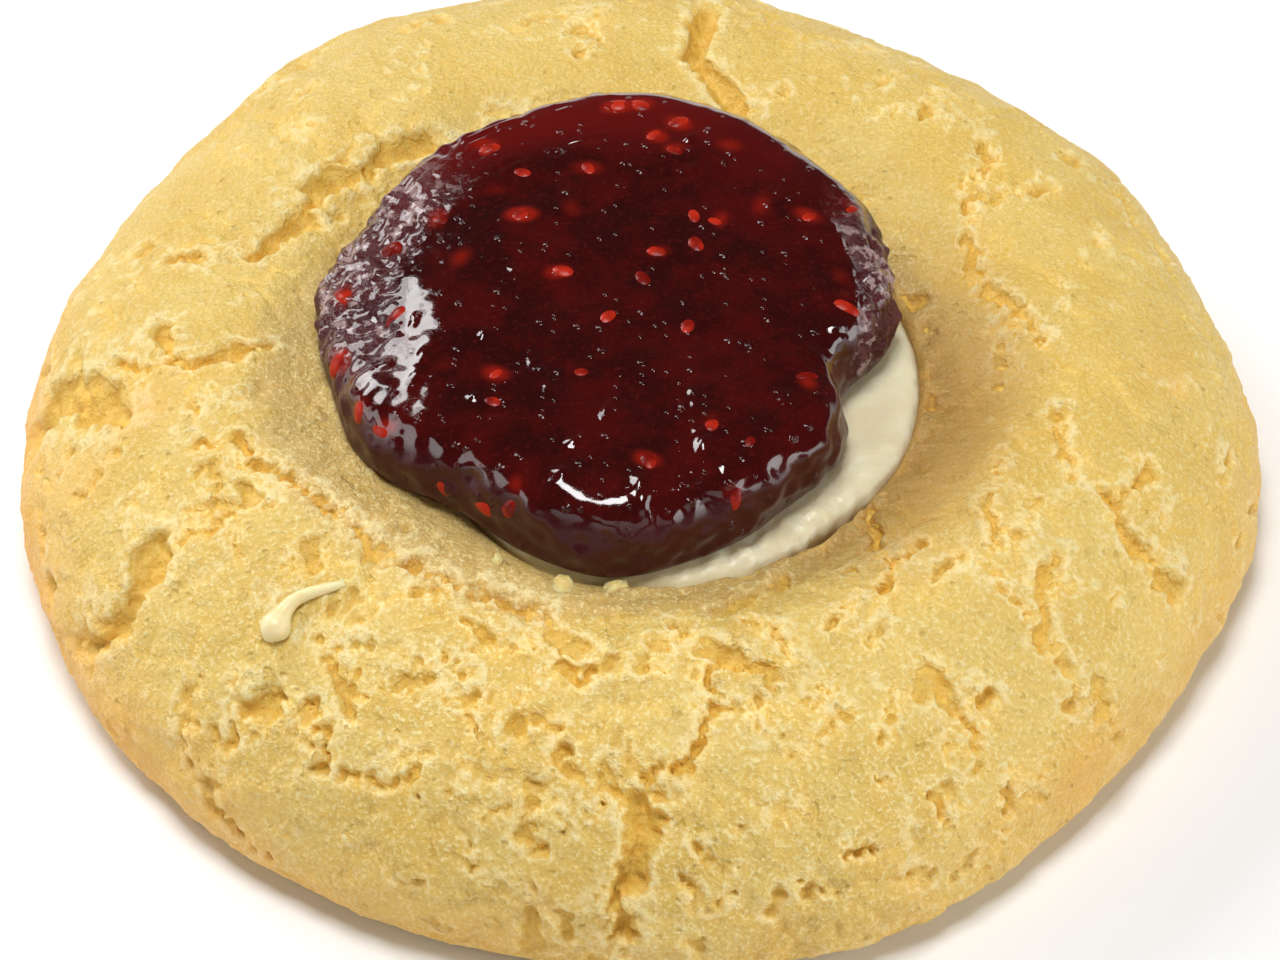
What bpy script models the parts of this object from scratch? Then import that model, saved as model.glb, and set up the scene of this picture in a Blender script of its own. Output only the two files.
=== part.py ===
"""A raspberry cream cheese cookie.

A soft, cracked round of dough rises to a broad crown and is pressed into a well at its middle.
A disc of cream cheese sits in the well, and a thick puck of raspberry jam with its seeds lies on the disc.
The origin is on the ground under the middle of the dough, +Z is up, and the front of the cookie faces -Y.
"""

import math
import random

import bmesh
import bpy
import numpy as np
from mathutils import Matrix, Vector, noise
from mathutils.bvhtree import BVHTree

# Sizes are in millimetres and bearings in degrees, anticlockwise from +X (the right) with the front at 270.
# The meshes are scaled to metres once they have their shape.
MM = 0.001

# The picture is 1280 x 960, and its camera looks down on the front of the cookie from a little way off
PICTURE_SIZE = (1280, 960)
PIXELS_PER_MM = 14.83
CAMERA_RISE = 47.0
CAMERA_DISTANCE = 450.0
CAMERA_AIM = (0.0, -1.6, 4.3)

# The dough's section, as (distance from the axis, height)
WELL_SECTION = [(0.0, 12.2), (10.0, 12.2), (18.2, 12.2), (18.6, 12.6), (18.75, 13.6), (18.8, 15.2)]
CROWN_SECTION = [
    (19.1, 16.0),
    (20.8, 16.4),
    (22.8, 16.9),
    (25.5, 17.6),
    (28.2, 17.5),
    (31.5, 16.7),
    (35.2, 14.9),
    (38.4, 12.3),
    (40.5, 9.4),
    (41.6, 6.6),
    (42.0, 3.9),
    (41.7, 1.9),
    (40.5, 0.5),
]
BASE_SECTION = [(38.4, 0.0), (20.0, 0.0), (0.0, 0.0)]
WELL_CENTRE = (-0.4, -3.0)
WELL_SWELLS = [(220, -2.8, 26)]

# Where the dough's outline swells out or runs flat: (bearing, how far, how wide in degrees)
DOUGH_SWELLS = [
    (58, -1.9, 19),
    (20, -0.9, 14),
    (90, 0.5, 14),
    (119, 1.1, 17),
    (154, -1.1, 16),
    (196, -0.4, 12),
    (228, -0.6, 20),
    (288, 0.7, 15),
    (308, -0.6, 14),
    (330, -1.6, 17),
]
DOUGH_COLUMNS = 320
DOUGH_SPACING = 0.5
DOUGH_TRIANGLES = 9300
BROAD_LUMP = 0.45
SMALL_LUMP = 0.22

# Broad shallow dips in the crown: (pixel across, pixel down, depth, size)
DENTS = [(1000, 380, 0.9, 5.0), (500, 640, 0.5, 4.0), (225, 235, 0.5, 5.0)]

# The cracks that show, as (width, depth, route). A route's stops are pixels of the 1280 x 960 picture, read by
# eye, and seen_spots finds the dough under them. A route of one stop is a pit.
CRACKS = [
    # Front: the hollow at the head of the main crack, the crack down to the rim, and its fork
    (1.9, 1.0, [(711, 647), (745, 664)]),
    (1.3, 1.2, [(725, 655), (711, 683), (717, 706), (700, 740), (683, 765), (644, 776)]),
    (2.5, 1.5, [(638, 799), (647, 827), (636, 855), (630, 883), (619, 902), (622, 939)]),
    (1.1, 0.9, [(717, 706), (748, 712), (756, 728)]),
    # Front, left of it
    (1.4, 1.0, [(552, 667), (577, 681), (596, 669)]),
    (1.1, 0.8, [(445, 650), (467, 672)]),
    (1.1, 0.8, [(448, 695), (473, 703)]),
    (1.3, 0.9, [(512, 728), (535, 731), (566, 734)]),
    (1.1, 0.8, [(504, 599), (529, 611)]),
    (1.1, 0.7, [(546, 616), (554, 630)]),
    (1.3, 0.8, [(669, 619), (683, 636)]),
    (1.1, 0.8, [(557, 773), (582, 782), (594, 801)]),
    (1.1, 0.8, [(411, 779), (417, 799)]),
    (1.0, 0.7, [(479, 818), (498, 813)]),
    (1.0, 0.7, [(523, 829), (540, 813)]),
    (1.1, 0.8, [(476, 849), (470, 871)]),
    (1.1, 0.8, [(566, 914), (563, 944)]),
    # Front, right of it
    (1.3, 1.0, [(946, 673), (943, 700), (958, 714), (975, 735)]),
    (1.2, 0.9, [(926, 791), (940, 797), (946, 820)]),
    (1.4, 1.1, [(849, 852), (867, 855)]),
    (1.1, 0.8, [(815, 681), (832, 698)]),
    (1.1, 0.7, [(745, 619), (779, 627)]),
    (1.1, 0.7, [(890, 691), (911, 697)]),
    (1.0, 0.7, [(882, 776), (890, 788)]),
    (1.1, 0.8, [(914, 873), (931, 883)]),
    (1.1, 0.8, [(683, 877), (697, 902)]),
    # The ring that broke open round the left of the well
    (1.5, 1.2, [(195, 440), (236, 436), (266, 465), (318, 503), (356, 533)]),
    (1.6, 1.2, [(356, 533), (411, 563), (480, 590), (540, 605)]),
    # Left: the wide torn hollow that runs in from the rim, and the crack from it to the jam
    (5.2, 1.5, [(38, 434), (60, 400), (90, 410)]),
    (3.4, 1.1, [(90, 410), (120, 418)]),
    (1.6, 1.1, [(121, 363), (151, 369), (186, 363), (233, 349), (262, 350)]),
    (1.8, 1.0, [(162, 330), (165, 355)]),
    # Lower left: a fine crack that opens towards the rim, and a hollow in the rim itself
    (1.1, 0.9, [(282, 503), (228, 517), (200, 528), (165, 550)]),
    (2.8, 1.4, [(162, 550), (148, 574), (137, 596), (110, 629), (88, 654)]),
    (3.4, 1.0, [(52, 591)]),
    (1.3, 0.9, [(365, 645), (354, 676), (346, 703), (348, 720)]),
    (1.7, 1.2, [(239, 720), (258, 709), (282, 700), (304, 706), (318, 739), (321, 769)]),
    (1.3, 0.9, [(236, 722), (236, 747), (228, 755)]),
    (1.3, 0.9, [(184, 720), (181, 744), (189, 763)]),
    (1.3, 0.9, [(346, 774), (384, 785), (420, 777)]),
    (1.3, 1.0, [(208, 802), (225, 816), (244, 835), (269, 859)]),
    # Back left: a broad trench close to the jam, and a hollow beyond it
    (2.6, 1.2, [(428, 148), (370, 168), (321, 186), (302, 219), (255, 252)]),
    (2.4, 0.9, [(192, 250), (175, 255)]),
    (1.0, 0.6, [(288, 140), (321, 121)]),
    # Back
    (1.3, 1.0, [(591, 11), (580, 36), (594, 39), (582, 56)]),
    (2.5, 1.6, [(709, 17), (692, 56), (714, 79), (731, 95), (739, 115)]),
    (1.3, 0.8, [(782, 90)]),
    # Back right, with its branch
    (1.3, 0.9, [(933, 97), (930, 119)]),
    (1.2, 0.9, [(986, 138), (993, 161), (978, 176), (970, 211), (967, 235), (973, 264)]),
    (1.2, 0.9, [(973, 264), (984, 293), (1017, 311), (1046, 341)]),
    (1.1, 0.8, [(993, 202), (1031, 188), (1052, 188)]),
    (1.1, 0.7, [(1099, 241)]),
    (1.1, 0.7, [(1153, 261)]),
    # Right
    (1.2, 0.8, [(1061, 409), (1066, 432), (1072, 464), (1075, 482)]),
    (1.5, 1.0, [(1099, 494), (1116, 499), (1137, 491), (1149, 473)]),
    (2.0, 1.0, [(1113, 502), (1137, 538), (1160, 564), (1178, 599)]),
    (1.7, 0.9, [(1052, 555), (1046, 576), (1044, 608), (1043, 649)]),
    (1.6, 1.1, [(864, 517), (879, 543), (883, 564), (885, 582)]),
    (1.3, 0.8, [(990, 505), (996, 543)]),
    (1.6, 0.8, [(1058, 662), (1078, 691), (1072, 711)]),
    (1.1, 0.8, [(1014, 776), (1008, 805), (1008, 829)]),
]
ROUTE_SPACING = 6

# The disc of cream cheese
CREAM_SECTION = [
    (0.0, 12.5),
    (17.4, 12.5),
    (18.1, 13.1),
    (18.4, 14.5),
    (18.3, 15.3),
    (17.8, 15.9),
    (16.8, 16.2),
    (15.0, 16.3),
]
CREAM_TOP = (0.0, 16.3)
CREAM_CENTRE = (-0.5, -3.0)
CREAM_SWELLS = [(220, -3.0, 27), (312, -0.7, 16), (30, 0.2, 30)]
CREAM_COLUMNS = 64

# The puck of jam
JAM_SECTION = [
    (0.0, 16.75),
    (17.4, 16.85),
    (18.6, 17.2),
    (19.1, 17.9),
    (19.0, 19.4),
    (18.5, 20.8),
    (17.7, 21.8),
    (16.4, 22.3),
    (14.0, 22.4),
    (11.0, 22.4),
]
JAM_TOP = (0.0, 22.4)
JAM_CENTRE = (-2.3, -2.2)
JAM_SWELLS = [
    (8, 0.4, 10),
    (30, 1.1, 13),
    (52, 0.8, 18),
    (84, 2.4, 30),
    (127, 0.6, 13),
    (162, 0.5, 11),
    (193, -0.9, 15),
    (235, -2.1, 20),
    (272, 0.7, 11),
    (313, -0.6, 13),
    (343, -2.8, 13),
]
JAM_COLUMNS = 72
JAM_SPACING = 1.1
JAM_RIPPLE = 0.2
SHOULDER_BEARING = 172
SHOULDER_WIDTH = 42
SHOULDER_START = 9.0
SHOULDER_END = 19.0
SHOULDER_DROP = 0.42

# The raspberry seeds in the jam
SEED_SIZE = (1.9, 1.2, 1.0)
SEED_COUNT = 40
SEED_SUNK = 0.15
SEED_REACH = 17.5
SEED_GAP = 2.2
SEED_SEGMENTS = 6
SEED_RINGS = 4

# The strand of cream on the dough: (pixel across, pixel down, thickness) of each of its stops
STRAND = [
    (345, 585, 0.5),
    (318, 592, 0.8),
    (295, 600, 0.9),
    (283, 614, 1.2),
    (276, 628, 2.3),
    (270, 638, 1.6),
    (268, 643, 0.4),
]


def smooth_step(values, low, high):
    """0 below low, 1 above high and a soft ramp between them."""
    share = np.clip((np.asarray(values, float) - low) / (high - low), 0.0, 1.0)
    return share * share * (3.0 - 2.0 * share)


def turned_by(bearings, middle):
    """How far each bearing lies from the middle one, from -180 to 180."""
    return (np.asarray(bearings, float) - middle + 180.0) % 360.0 - 180.0


def swell_at(bearings, swells):
    """How far an outline stands out at each bearing."""
    total = np.zeros_like(np.asarray(bearings, float))
    for middle, height, spread in swells:
        total += height * np.exp(-((turned_by(bearings, middle) / spread) ** 2))
    return total


def ripple(points, size, lane):
    """Smooth noise from about -1 to 1 over bumps of this size. Each lane is a different noise."""
    shift = Vector((lane * 31.7, lane * 17.3, lane * 7.9))
    return np.array([noise.noise(Vector(point) / size + shift) for point in points])


def curve_through(stops, spacing):
    """A smooth curve through the stops, with its points about this far apart."""
    padded = [stops[0], *stops, stops[-1]]
    found = [stops[0]]
    for before, start, end, after in zip(padded, padded[1:], padded[2:], padded[3:]):
        count = max(1, round(math.dist(start, end) / spacing))
        for step in range(1, count + 1):
            t = step / count
            found.append(tuple(blend(t, *line) for line in zip(before, start, end, after)))
    return found


def blend(t, a, b, c, d):
    """One coordinate of the Catmull-Rom curve from b to c."""
    return 0.5 * (2 * b + (c - a) * t + (2 * a - 5 * b + 4 * c - d) * t**2 + (3 * b - a - 3 * c + d) * t**3)


def spun_mesh(name, section, columns):
    """The solid that the section makes when it turns once about the Z axis."""
    bm = bmesh.new()
    verts = [bm.verts.new((radius, 0.0, height)) for radius, height in section]
    for pair in zip(verts, verts[1:]):
        bm.edges.new(pair)
    outline = bpy.data.meshes.new(name)
    bm.to_mesh(outline)
    bm.free()
    holder = bpy.data.objects.new(name, outline)
    bpy.context.scene.collection.objects.link(holder)
    turn = holder.modifiers.new("turn", "SCREW")
    turn.steps = columns
    turn.render_steps = columns
    turn.use_merge_vertices = True
    turn.merge_threshold = 0.0001
    mesh = bpy.data.meshes.new_from_object(holder.evaluated_get(bpy.context.evaluated_depsgraph_get()))
    bpy.data.objects.remove(holder)
    weld(mesh)
    return mesh


def weld(mesh):
    """Joins the vertices that lie at one spot, which closes poles and a tube's ends, and turns the faces out."""
    bm = bmesh.new()
    bm.from_mesh(mesh)
    bmesh.ops.remove_doubles(bm, verts=bm.verts, dist=0.001)
    bmesh.ops.recalc_face_normals(bm, faces=bm.faces)
    bm.to_mesh(mesh)
    bm.free()


def points_of(mesh, field="co"):
    """The mesh's vertex positions or normals, as an array with a row for each vertex."""
    flat = np.empty(len(mesh.vertices) * 3, np.float32)
    mesh.vertices.foreach_get(field, flat)
    return flat.reshape(-1, 3).astype(float)


def move_points(mesh, points):
    mesh.vertices.foreach_set("co", points.astype(np.float32).ravel())
    mesh.update()


def polar(points, centre=(0.0, 0.0)):
    """Each point's distance from the centre's upright line, and its bearing."""
    across = points[:, 0] - centre[0]
    along = points[:, 1] - centre[1]
    return np.hypot(across, along), np.degrees(np.arctan2(along, across))


def push_out(points, swells, start, end):
    """Moves the points outwards by the outline's swells, from none at the start radius to all at the end."""
    radius, bearing = polar(points)
    share = smooth_step(radius, start, end)
    grown = 1.0 + share * swell_at(bearing, swells) / np.maximum(radius, 1.0)
    return points * np.column_stack([grown, grown, np.ones(len(points))])


def shape_dough(points):
    """Gives the turned dough its uneven outline, and moves and shapes its well."""
    radius, bearing = polar(points)
    shaped = push_out(points, DOUGH_SWELLS, 24.0, 40.0)
    on_top = points[:, 2] > 8.0
    pinch = np.where(on_top, 1.0 - smooth_step(radius, 20.0, 29.0), 0.0) * np.minimum(radius / 19.5, 1.0)
    drawn = 1.0 + pinch * swell_at(bearing, WELL_SWELLS) / np.maximum(radius, 1.0)
    share = np.where(on_top, 1.0 - smooth_step(radius, 20.5, 33.0), 0.0)
    shaped[:, 0] = shaped[:, 0] * drawn + share * WELL_CENTRE[0]
    shaped[:, 1] = shaped[:, 1] * drawn + share * WELL_CENTRE[1]
    return shaped


def surface_of(mesh):
    """A tree of the mesh's surface, for finding where a line meets it."""
    bm = bmesh.new()
    bm.from_mesh(mesh)
    tree = BVHTree.FromBMesh(bm)
    bm.free()
    return tree


def seen_spots(surface, pixels):
    """The places on the surface that the camera sees at these pixels. A pixel that misses it gives none."""
    rise = math.radians(CAMERA_RISE)
    ahead = Vector((0.0, math.cos(rise), -math.sin(rise)))
    upwards = Vector((0.0, math.sin(rise), math.cos(rise)))
    camera = Vector(CAMERA_AIM) - ahead * CAMERA_DISTANCE
    spots = []
    for across, down in pixels:
        right = Vector((across - PICTURE_SIZE[0] / 2, 0.0, 0.0))
        line = ahead * PIXELS_PER_MM * CAMERA_DISTANCE + upwards * (PICTURE_SIZE[1] / 2 - down) + right
        hit = surface.ray_cast(camera, line.normalized())[0]
        if hit is not None:
            spots.append(tuple(hit))
    return np.array(spots).reshape(-1, 3)


def fine_route(stops):
    """The stops with others between them, close together."""
    found = [stops[0]]
    for start, end in zip(stops, stops[1:]):
        count = max(1, math.ceil(math.dist(start, end) / ROUTE_SPACING))
        for step in range(1, count + 1):
            found.append(tuple(a + (b - a) * step / count for a, b in zip(start, end)))
    return found


def seen_cracks(surface):
    """The cracks that show, each with its route on the dough."""
    return [(width, depth, seen_spots(surface, fine_route(stops))) for width, depth, stops in CRACKS]


def crack_sink(points, cracks):
    """How deep each point lies below the unbroken dough. A crack is steep at its front lip and easy behind it."""
    wander = np.column_stack([ripple(points, 2.4, lane) for lane in (1, 2, 3)])
    rough = points + 0.7 * wander
    sink = np.zeros(len(points))
    for width, depth, route in cracks:
        reach = width + 0.6
        low, high = route.min(axis=0) - reach, route.max(axis=0) + reach
        near = np.flatnonzero(((rough > low) & (rough < high)).all(axis=1))
        if not len(near):
            continue
        every = np.linalg.norm(rough[near, None, :] - route[None, :, :], axis=2)
        gaps = every.min(axis=1)
        behind = (rough[near] - route[every.argmin(axis=1)])[:, 1] / np.maximum(gaps, 0.05)
        half = width * (0.45 + 0.15 * np.clip(behind, -1.0, 1.0))
        fall = depth * (1.0 - smooth_step(gaps / half, 0.1, 1.0))
        sink[near] = np.maximum(sink[near], fall)
    return sink


def dip_at(points, surface):
    """How far each point lies down in the crown's broad dips."""
    total = np.zeros(len(points))
    for across, down, depth, size in DENTS:
        for middle in seen_spots(surface, [(across, down)]):
            total += depth * np.exp(-((np.linalg.norm(points - middle, axis=1) / size) ** 2))
    return total


def roughen_dough(mesh, surface):
    """Raises the crown's lumps and opens its cracks."""
    points = points_of(mesh)
    from_well, _ = polar(points, WELL_CENTRE)
    crown = smooth_step(from_well, 18.9, 21.0) * smooth_step(points[:, 2], 0.3, 2.5)
    lift = BROAD_LUMP * ripple(points, 9.0, 5) + SMALL_LUMP * ripple(points, 3.2, 6)
    lift -= crack_sink(points, seen_cracks(surface)) + dip_at(points, surface)
    move_points(mesh, points + points_of(mesh, "normal") * (crown * lift)[:, None])


def cut_triangles(obj, wanted):
    """Thins the mesh to about this many triangles, where its surface bends least."""
    count = sum(len(face.vertices) - 2 for face in obj.data.polygons)
    thin = obj.modifiers.new("thin", "DECIMATE")
    thin.ratio = wanted / count
    apply_modifiers(obj)


def apply_modifiers(obj):
    """Turns the object's modifiers into plain mesh."""
    graph = bpy.context.evaluated_depsgraph_get()
    made = bpy.data.meshes.new_from_object(obj.evaluated_get(graph))
    obj.modifiers.clear()
    obj.data = made


def flatten_base(mesh, within):
    """Sets the vertices that lie this near the ground exactly on it."""
    points = points_of(mesh)
    points[points[:, 2] < within, 2] = 0.0
    move_points(mesh, points)


def add_object(name, mesh, collection):
    obj = bpy.data.objects.new(name, mesh)
    collection.objects.link(obj)
    return obj


def fuse(obj, toppings):
    """Joins every object of the toppings collection to this one, and removes them."""
    union = obj.modifiers.new("fuse", "BOOLEAN")
    union.operation = "UNION"
    union.operand_type = "COLLECTION"
    union.solver = "MANIFOLD"
    union.collection = toppings
    bpy.context.view_layer.update()
    apply_modifiers(obj)
    for topping in list(toppings.objects):
        bpy.data.objects.remove(topping)
    bpy.data.collections.remove(toppings)


def toppings_collection(name, parent):
    made = bpy.data.collections.new(name)
    parent.children.link(made)
    return made


def make_dough(collection):
    curve = curve_through(CROWN_SECTION, DOUGH_SPACING)
    mesh = spun_mesh("cookie", [*WELL_SECTION, *curve, *BASE_SECTION], DOUGH_COLUMNS)
    move_points(mesh, shape_dough(points_of(mesh)))
    surface = surface_of(mesh)
    roughen_dough(mesh, surface)
    cookie = add_object("cookie", mesh, collection)
    cut_triangles(cookie, DOUGH_TRIANGLES)
    flatten_base(cookie.data, 0.05)
    toppings = toppings_collection("cream_strand", collection)
    make_strand(surface, toppings)
    fuse(cookie, toppings)
    return cookie


def make_strand(surface, collection):
    """A short strand of cream that fell on the dough, with a drop at its end."""
    curve = bpy.data.curves.new("strand", "CURVE")
    curve.dimensions = "3D"
    curve.bevel_depth = 1.0
    curve.bevel_resolution = 1
    curve.resolution_u = 3
    curve.use_fill_caps = True
    spline = curve.splines.new("POLY")
    spline.points.add(len(STRAND) - 1)
    spots = seen_spots(surface, [stop[:2] for stop in STRAND])
    for point, spot, (_, _, thickness) in zip(spline.points, spots, STRAND):
        point.co = (*spot, 1.0)
        point.radius = thickness / 2
    holder = bpy.data.objects.new("strand", curve)
    mesh = bpy.data.meshes.new_from_object(holder)
    bpy.data.objects.remove(holder)
    weld(mesh)
    add_object("strand", mesh, collection)


def make_cream(collection):
    mesh = spun_mesh("cream_cheese", [*CREAM_SECTION, CREAM_TOP], CREAM_COLUMNS)
    points = push_out(points_of(mesh), CREAM_SWELLS, 8.0, 18.0)
    move_points(mesh, points + [*CREAM_CENTRE, 0.0])
    return add_object("cream_cheese", mesh, collection)


def slope_shoulder(points):
    """Lowers the jam's left side into the broad slope that it has there."""
    radius, bearing = polar(points)
    aside = np.exp(-((turned_by(bearing, SHOULDER_BEARING) / SHOULDER_WIDTH) ** 2))
    share = SHOULDER_DROP * aside * smooth_step(radius, SHOULDER_START, SHOULDER_END)
    floor = JAM_SECTION[0][1]
    sloped = points.copy()
    sloped[:, 2] = floor + (points[:, 2] - floor) * (1.0 - share)
    return sloped


def make_jam(collection):
    curve = curve_through(JAM_SECTION[1:], JAM_SPACING)
    mesh = spun_mesh("raspberry_jam", [JAM_SECTION[0], *curve, (5.0, 22.4), JAM_TOP], JAM_COLUMNS)
    points = slope_shoulder(push_out(points_of(mesh), JAM_SWELLS, 6.0, 18.0))
    above = smooth_step(points[:, 2], 17.0, 18.5)
    points[:, 2] += JAM_RIPPLE * above * ripple(points, 4.5, 8)
    move_points(mesh, points + [*JAM_CENTRE, 0.0])
    jam = add_object("raspberry_jam", mesh, collection)
    toppings = toppings_collection("seeds", collection)
    scatter_seeds(mesh, toppings)
    fuse(jam, toppings)
    return jam


def seed_spots(rng):
    """Places for the seeds on the jam, spread out from its middle by a sunflower's rule."""
    golden = math.pi * (3.0 - math.sqrt(5.0))
    for index in range(SEED_COUNT):
        reach = SEED_REACH * math.sqrt((index + 0.5) / SEED_COUNT)
        angle = index * golden
        spread = SEED_GAP / 3
        across = reach * math.cos(angle) + rng.uniform(-spread, spread)
        along = reach * math.sin(angle) + rng.uniform(-spread, spread)
        yield JAM_CENTRE[0] + across, JAM_CENTRE[1] + along


def scatter_seeds(jam_mesh, collection):
    """Lays the seeds on the jam, each half sunk and turned its own way."""
    rng = random.Random(7)
    surface = surface_of(jam_mesh)
    for index, (across, along) in enumerate(seed_spots(rng)):
        hit, normal, _, _ = surface.ray_cast(Vector((across, along, 60.0)), Vector((0, 0, -1)))
        if hit is None or normal.z < 0.5:
            continue
        turn = Matrix.Rotation(rng.uniform(0, math.pi), 4, "Z")
        lean = normal.to_track_quat("Z", "Y").to_matrix().to_4x4()
        place = Matrix.Translation(hit - normal * SEED_SUNK) @ lean @ turn
        add_object(f"seed_{index}", seed_mesh(place), collection)


def seed_mesh(place):
    """One seed, a small flattened egg."""
    bm = bmesh.new()
    bmesh.ops.create_uvsphere(bm, u_segments=SEED_SEGMENTS, v_segments=SEED_RINGS, radius=0.5)
    bmesh.ops.transform(bm, matrix=place @ Matrix.Diagonal((*SEED_SIZE, 1.0)), verts=bm.verts)
    mesh = bpy.data.meshes.new("seed")
    bm.to_mesh(mesh)
    bm.free()
    return mesh


def coat(obj, name, colour, roughness):
    """Gives the object its own material."""
    material = bpy.data.materials.new(name)
    material.use_nodes = True
    shader = material.node_tree.nodes["Principled BSDF"]
    shader.inputs["Base Color"].default_value = (*colour, 1.0)
    shader.inputs["Roughness"].default_value = roughness
    shader.inputs["Metallic"].default_value = 0.0
    obj.data.materials.clear()
    obj.data.materials.append(material)


def to_metres(obj):
    obj.data.transform(Matrix.Scale(MM, 4))


def clear_scene():
    for obj in list(bpy.data.objects):
        bpy.data.objects.remove(obj)


def main():
    clear_scene()
    collection = bpy.data.collections.new("raspberry_cream_cheese_cookie")
    bpy.context.scene.collection.children.link(collection)
    cookie = make_dough(collection)
    cream = make_cream(collection)
    jam = make_jam(collection)
    coat(cookie, "dough", (0.81, 0.57, 0.15), 0.5)
    coat(cream, "cream_cheese", (0.82, 0.73, 0.50), 0.35)
    coat(jam, "raspberry_jam", (0.06, 0.002, 0.0015), 0.1)
    for obj in (cookie, cream, jam):
        to_metres(obj)


if __name__ == "__main__":
    main()
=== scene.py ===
"""Looks for the raspberry cream cheese cookie: cracked dough, cream cheese and glossy seeded jam."""

import math
import random

import bmesh
import bpy
import numpy as np
from mathutils import Matrix, Vector, noise
from mathutils.bvhtree import BVHTree


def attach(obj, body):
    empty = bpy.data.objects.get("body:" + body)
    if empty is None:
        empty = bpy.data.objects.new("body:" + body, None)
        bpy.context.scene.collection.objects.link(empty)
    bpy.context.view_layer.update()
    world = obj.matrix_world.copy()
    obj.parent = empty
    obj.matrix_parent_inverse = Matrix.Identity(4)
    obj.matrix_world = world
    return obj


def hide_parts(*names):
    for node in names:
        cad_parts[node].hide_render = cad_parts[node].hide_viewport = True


# Sizes are in millimetres and bearings in degrees, anticlockwise from +X (the right) with the front at 270.
# The meshes are scaled to metres once they have their shape.
MM = 0.001

# The picture is 1280 x 960, and its camera looks down on the front of the cookie from a little way off
PICTURE_SIZE = (1280, 960)
PIXELS_PER_MM = 14.83
CAMERA_RISE = 47.0
CAMERA_DISTANCE = 450.0
CAMERA_AIM = (0.0, -1.6, 4.3)
SENSOR_WIDTH = 36.0

# A turned piece is spun as this many equal sectors, and vertices nearer than this are one
SECTORS = 20
WELD_DISTANCE = 0.001

# What each piece's random draws start from
SLIT_DRAW = 21
SPREAD_DRAW = 7
CRUMB_DRAW = 5
SINK_DRAW = 9

# The dough's section, as (distance from the axis, height)
WELL_SECTION = [(0.0, 12.2), (10.0, 12.2), (18.2, 12.2), (18.6, 12.6), (18.75, 13.6), (18.8, 15.2)]
CROWN_SECTION = [
    (19.1, 16.0),
    (20.8, 16.4),
    (22.8, 16.9),
    (25.5, 17.6),
    (28.2, 17.5),
    (31.5, 16.7),
    (35.2, 14.9),
    (38.4, 12.3),
    (40.5, 9.4),
    (41.6, 6.6),
    (42.0, 3.9),
    (41.7, 1.9),
    (40.5, 0.5),
]
BASE_SECTION = [(39.2, 0.0), (38.4, 0.0), (30.0, 0.0), (15.0, 0.0), (0.0, 0.0)]
WELL_CENTRE = (-0.4, -3.0)
WELL_SWELLS = [(220, -2.8, 26)]
WELL_RADIUS = 19.5
TOP_HALF = 8.0

# Between these distances from the axis, the dough's swells begin, and the well's swells and shift end
DOUGH_STRETCH = (24.0, 40.0)
WELL_PINCH = (20.0, 29.0)
WELL_SHIFT = (20.5, 33.0)

# Where the dough's outline swells out or runs flat: (bearing, how far, how wide in degrees)
DOUGH_SWELLS = [
    (58, -1.9, 19),
    (20, -0.9, 14),
    (90, 0.5, 14),
    (119, 1.1, 17),
    (154, -1.1, 16),
    (196, -0.4, 12),
    (228, -0.6, 20),
    (288, 0.7, 15),
    (308, -0.6, 14),
    (330, -1.6, 17),
]
DOUGH_COLUMNS = 780
COLUMN_CROWDING = 0.3
DOUGH_SPACING = 0.3
BROAD_LUMP = 0.45
SMALL_LUMP = 0.22
CRUMB_LUMP = 0.2
FINE_CRUMB = 0.14
LIP_HEIGHT = 0.08
TORN_DEPTH = 0.48
TORN_SHARE = 0.36
CRACK_DEPTH_SHARE = 0.82
CRACK_HALF = 0.43
CRACK_LEAN = 0.17
CRACK_WANDER = 0.7
CRACK_JITTER = 0.65
CRAZE_SIZE = 4.2
CRAZE_DEPTH = 0.25
FULL_SINK = 1.2

# Zones of the dough, as (bearing, width in degrees)
CRUMBLY_ZONE = (262, 62)
SLIT_ZONE = (265, 75)
MOIST_ZONE = (205, 60)
# The moat zone and its reach mark where painted shade darkens the dough's slope down into the well at the
# right
MOAT_SHADE_ZONE = (345, 48)
MOIST_REACH = 20.0
MOIST_SIDE = 4.5
# How far from the well the painted shade on that slope reaches
MOAT_SHADE_REACH = (31.0, 20.0)

# Broad shallow dips in the crown: (pixel across, pixel down, depth, size)
DENTS = [(1000, 380, 0.9, 5.0), (500, 640, 0.5, 4.0), (225, 235, 0.5, 5.0)]
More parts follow.
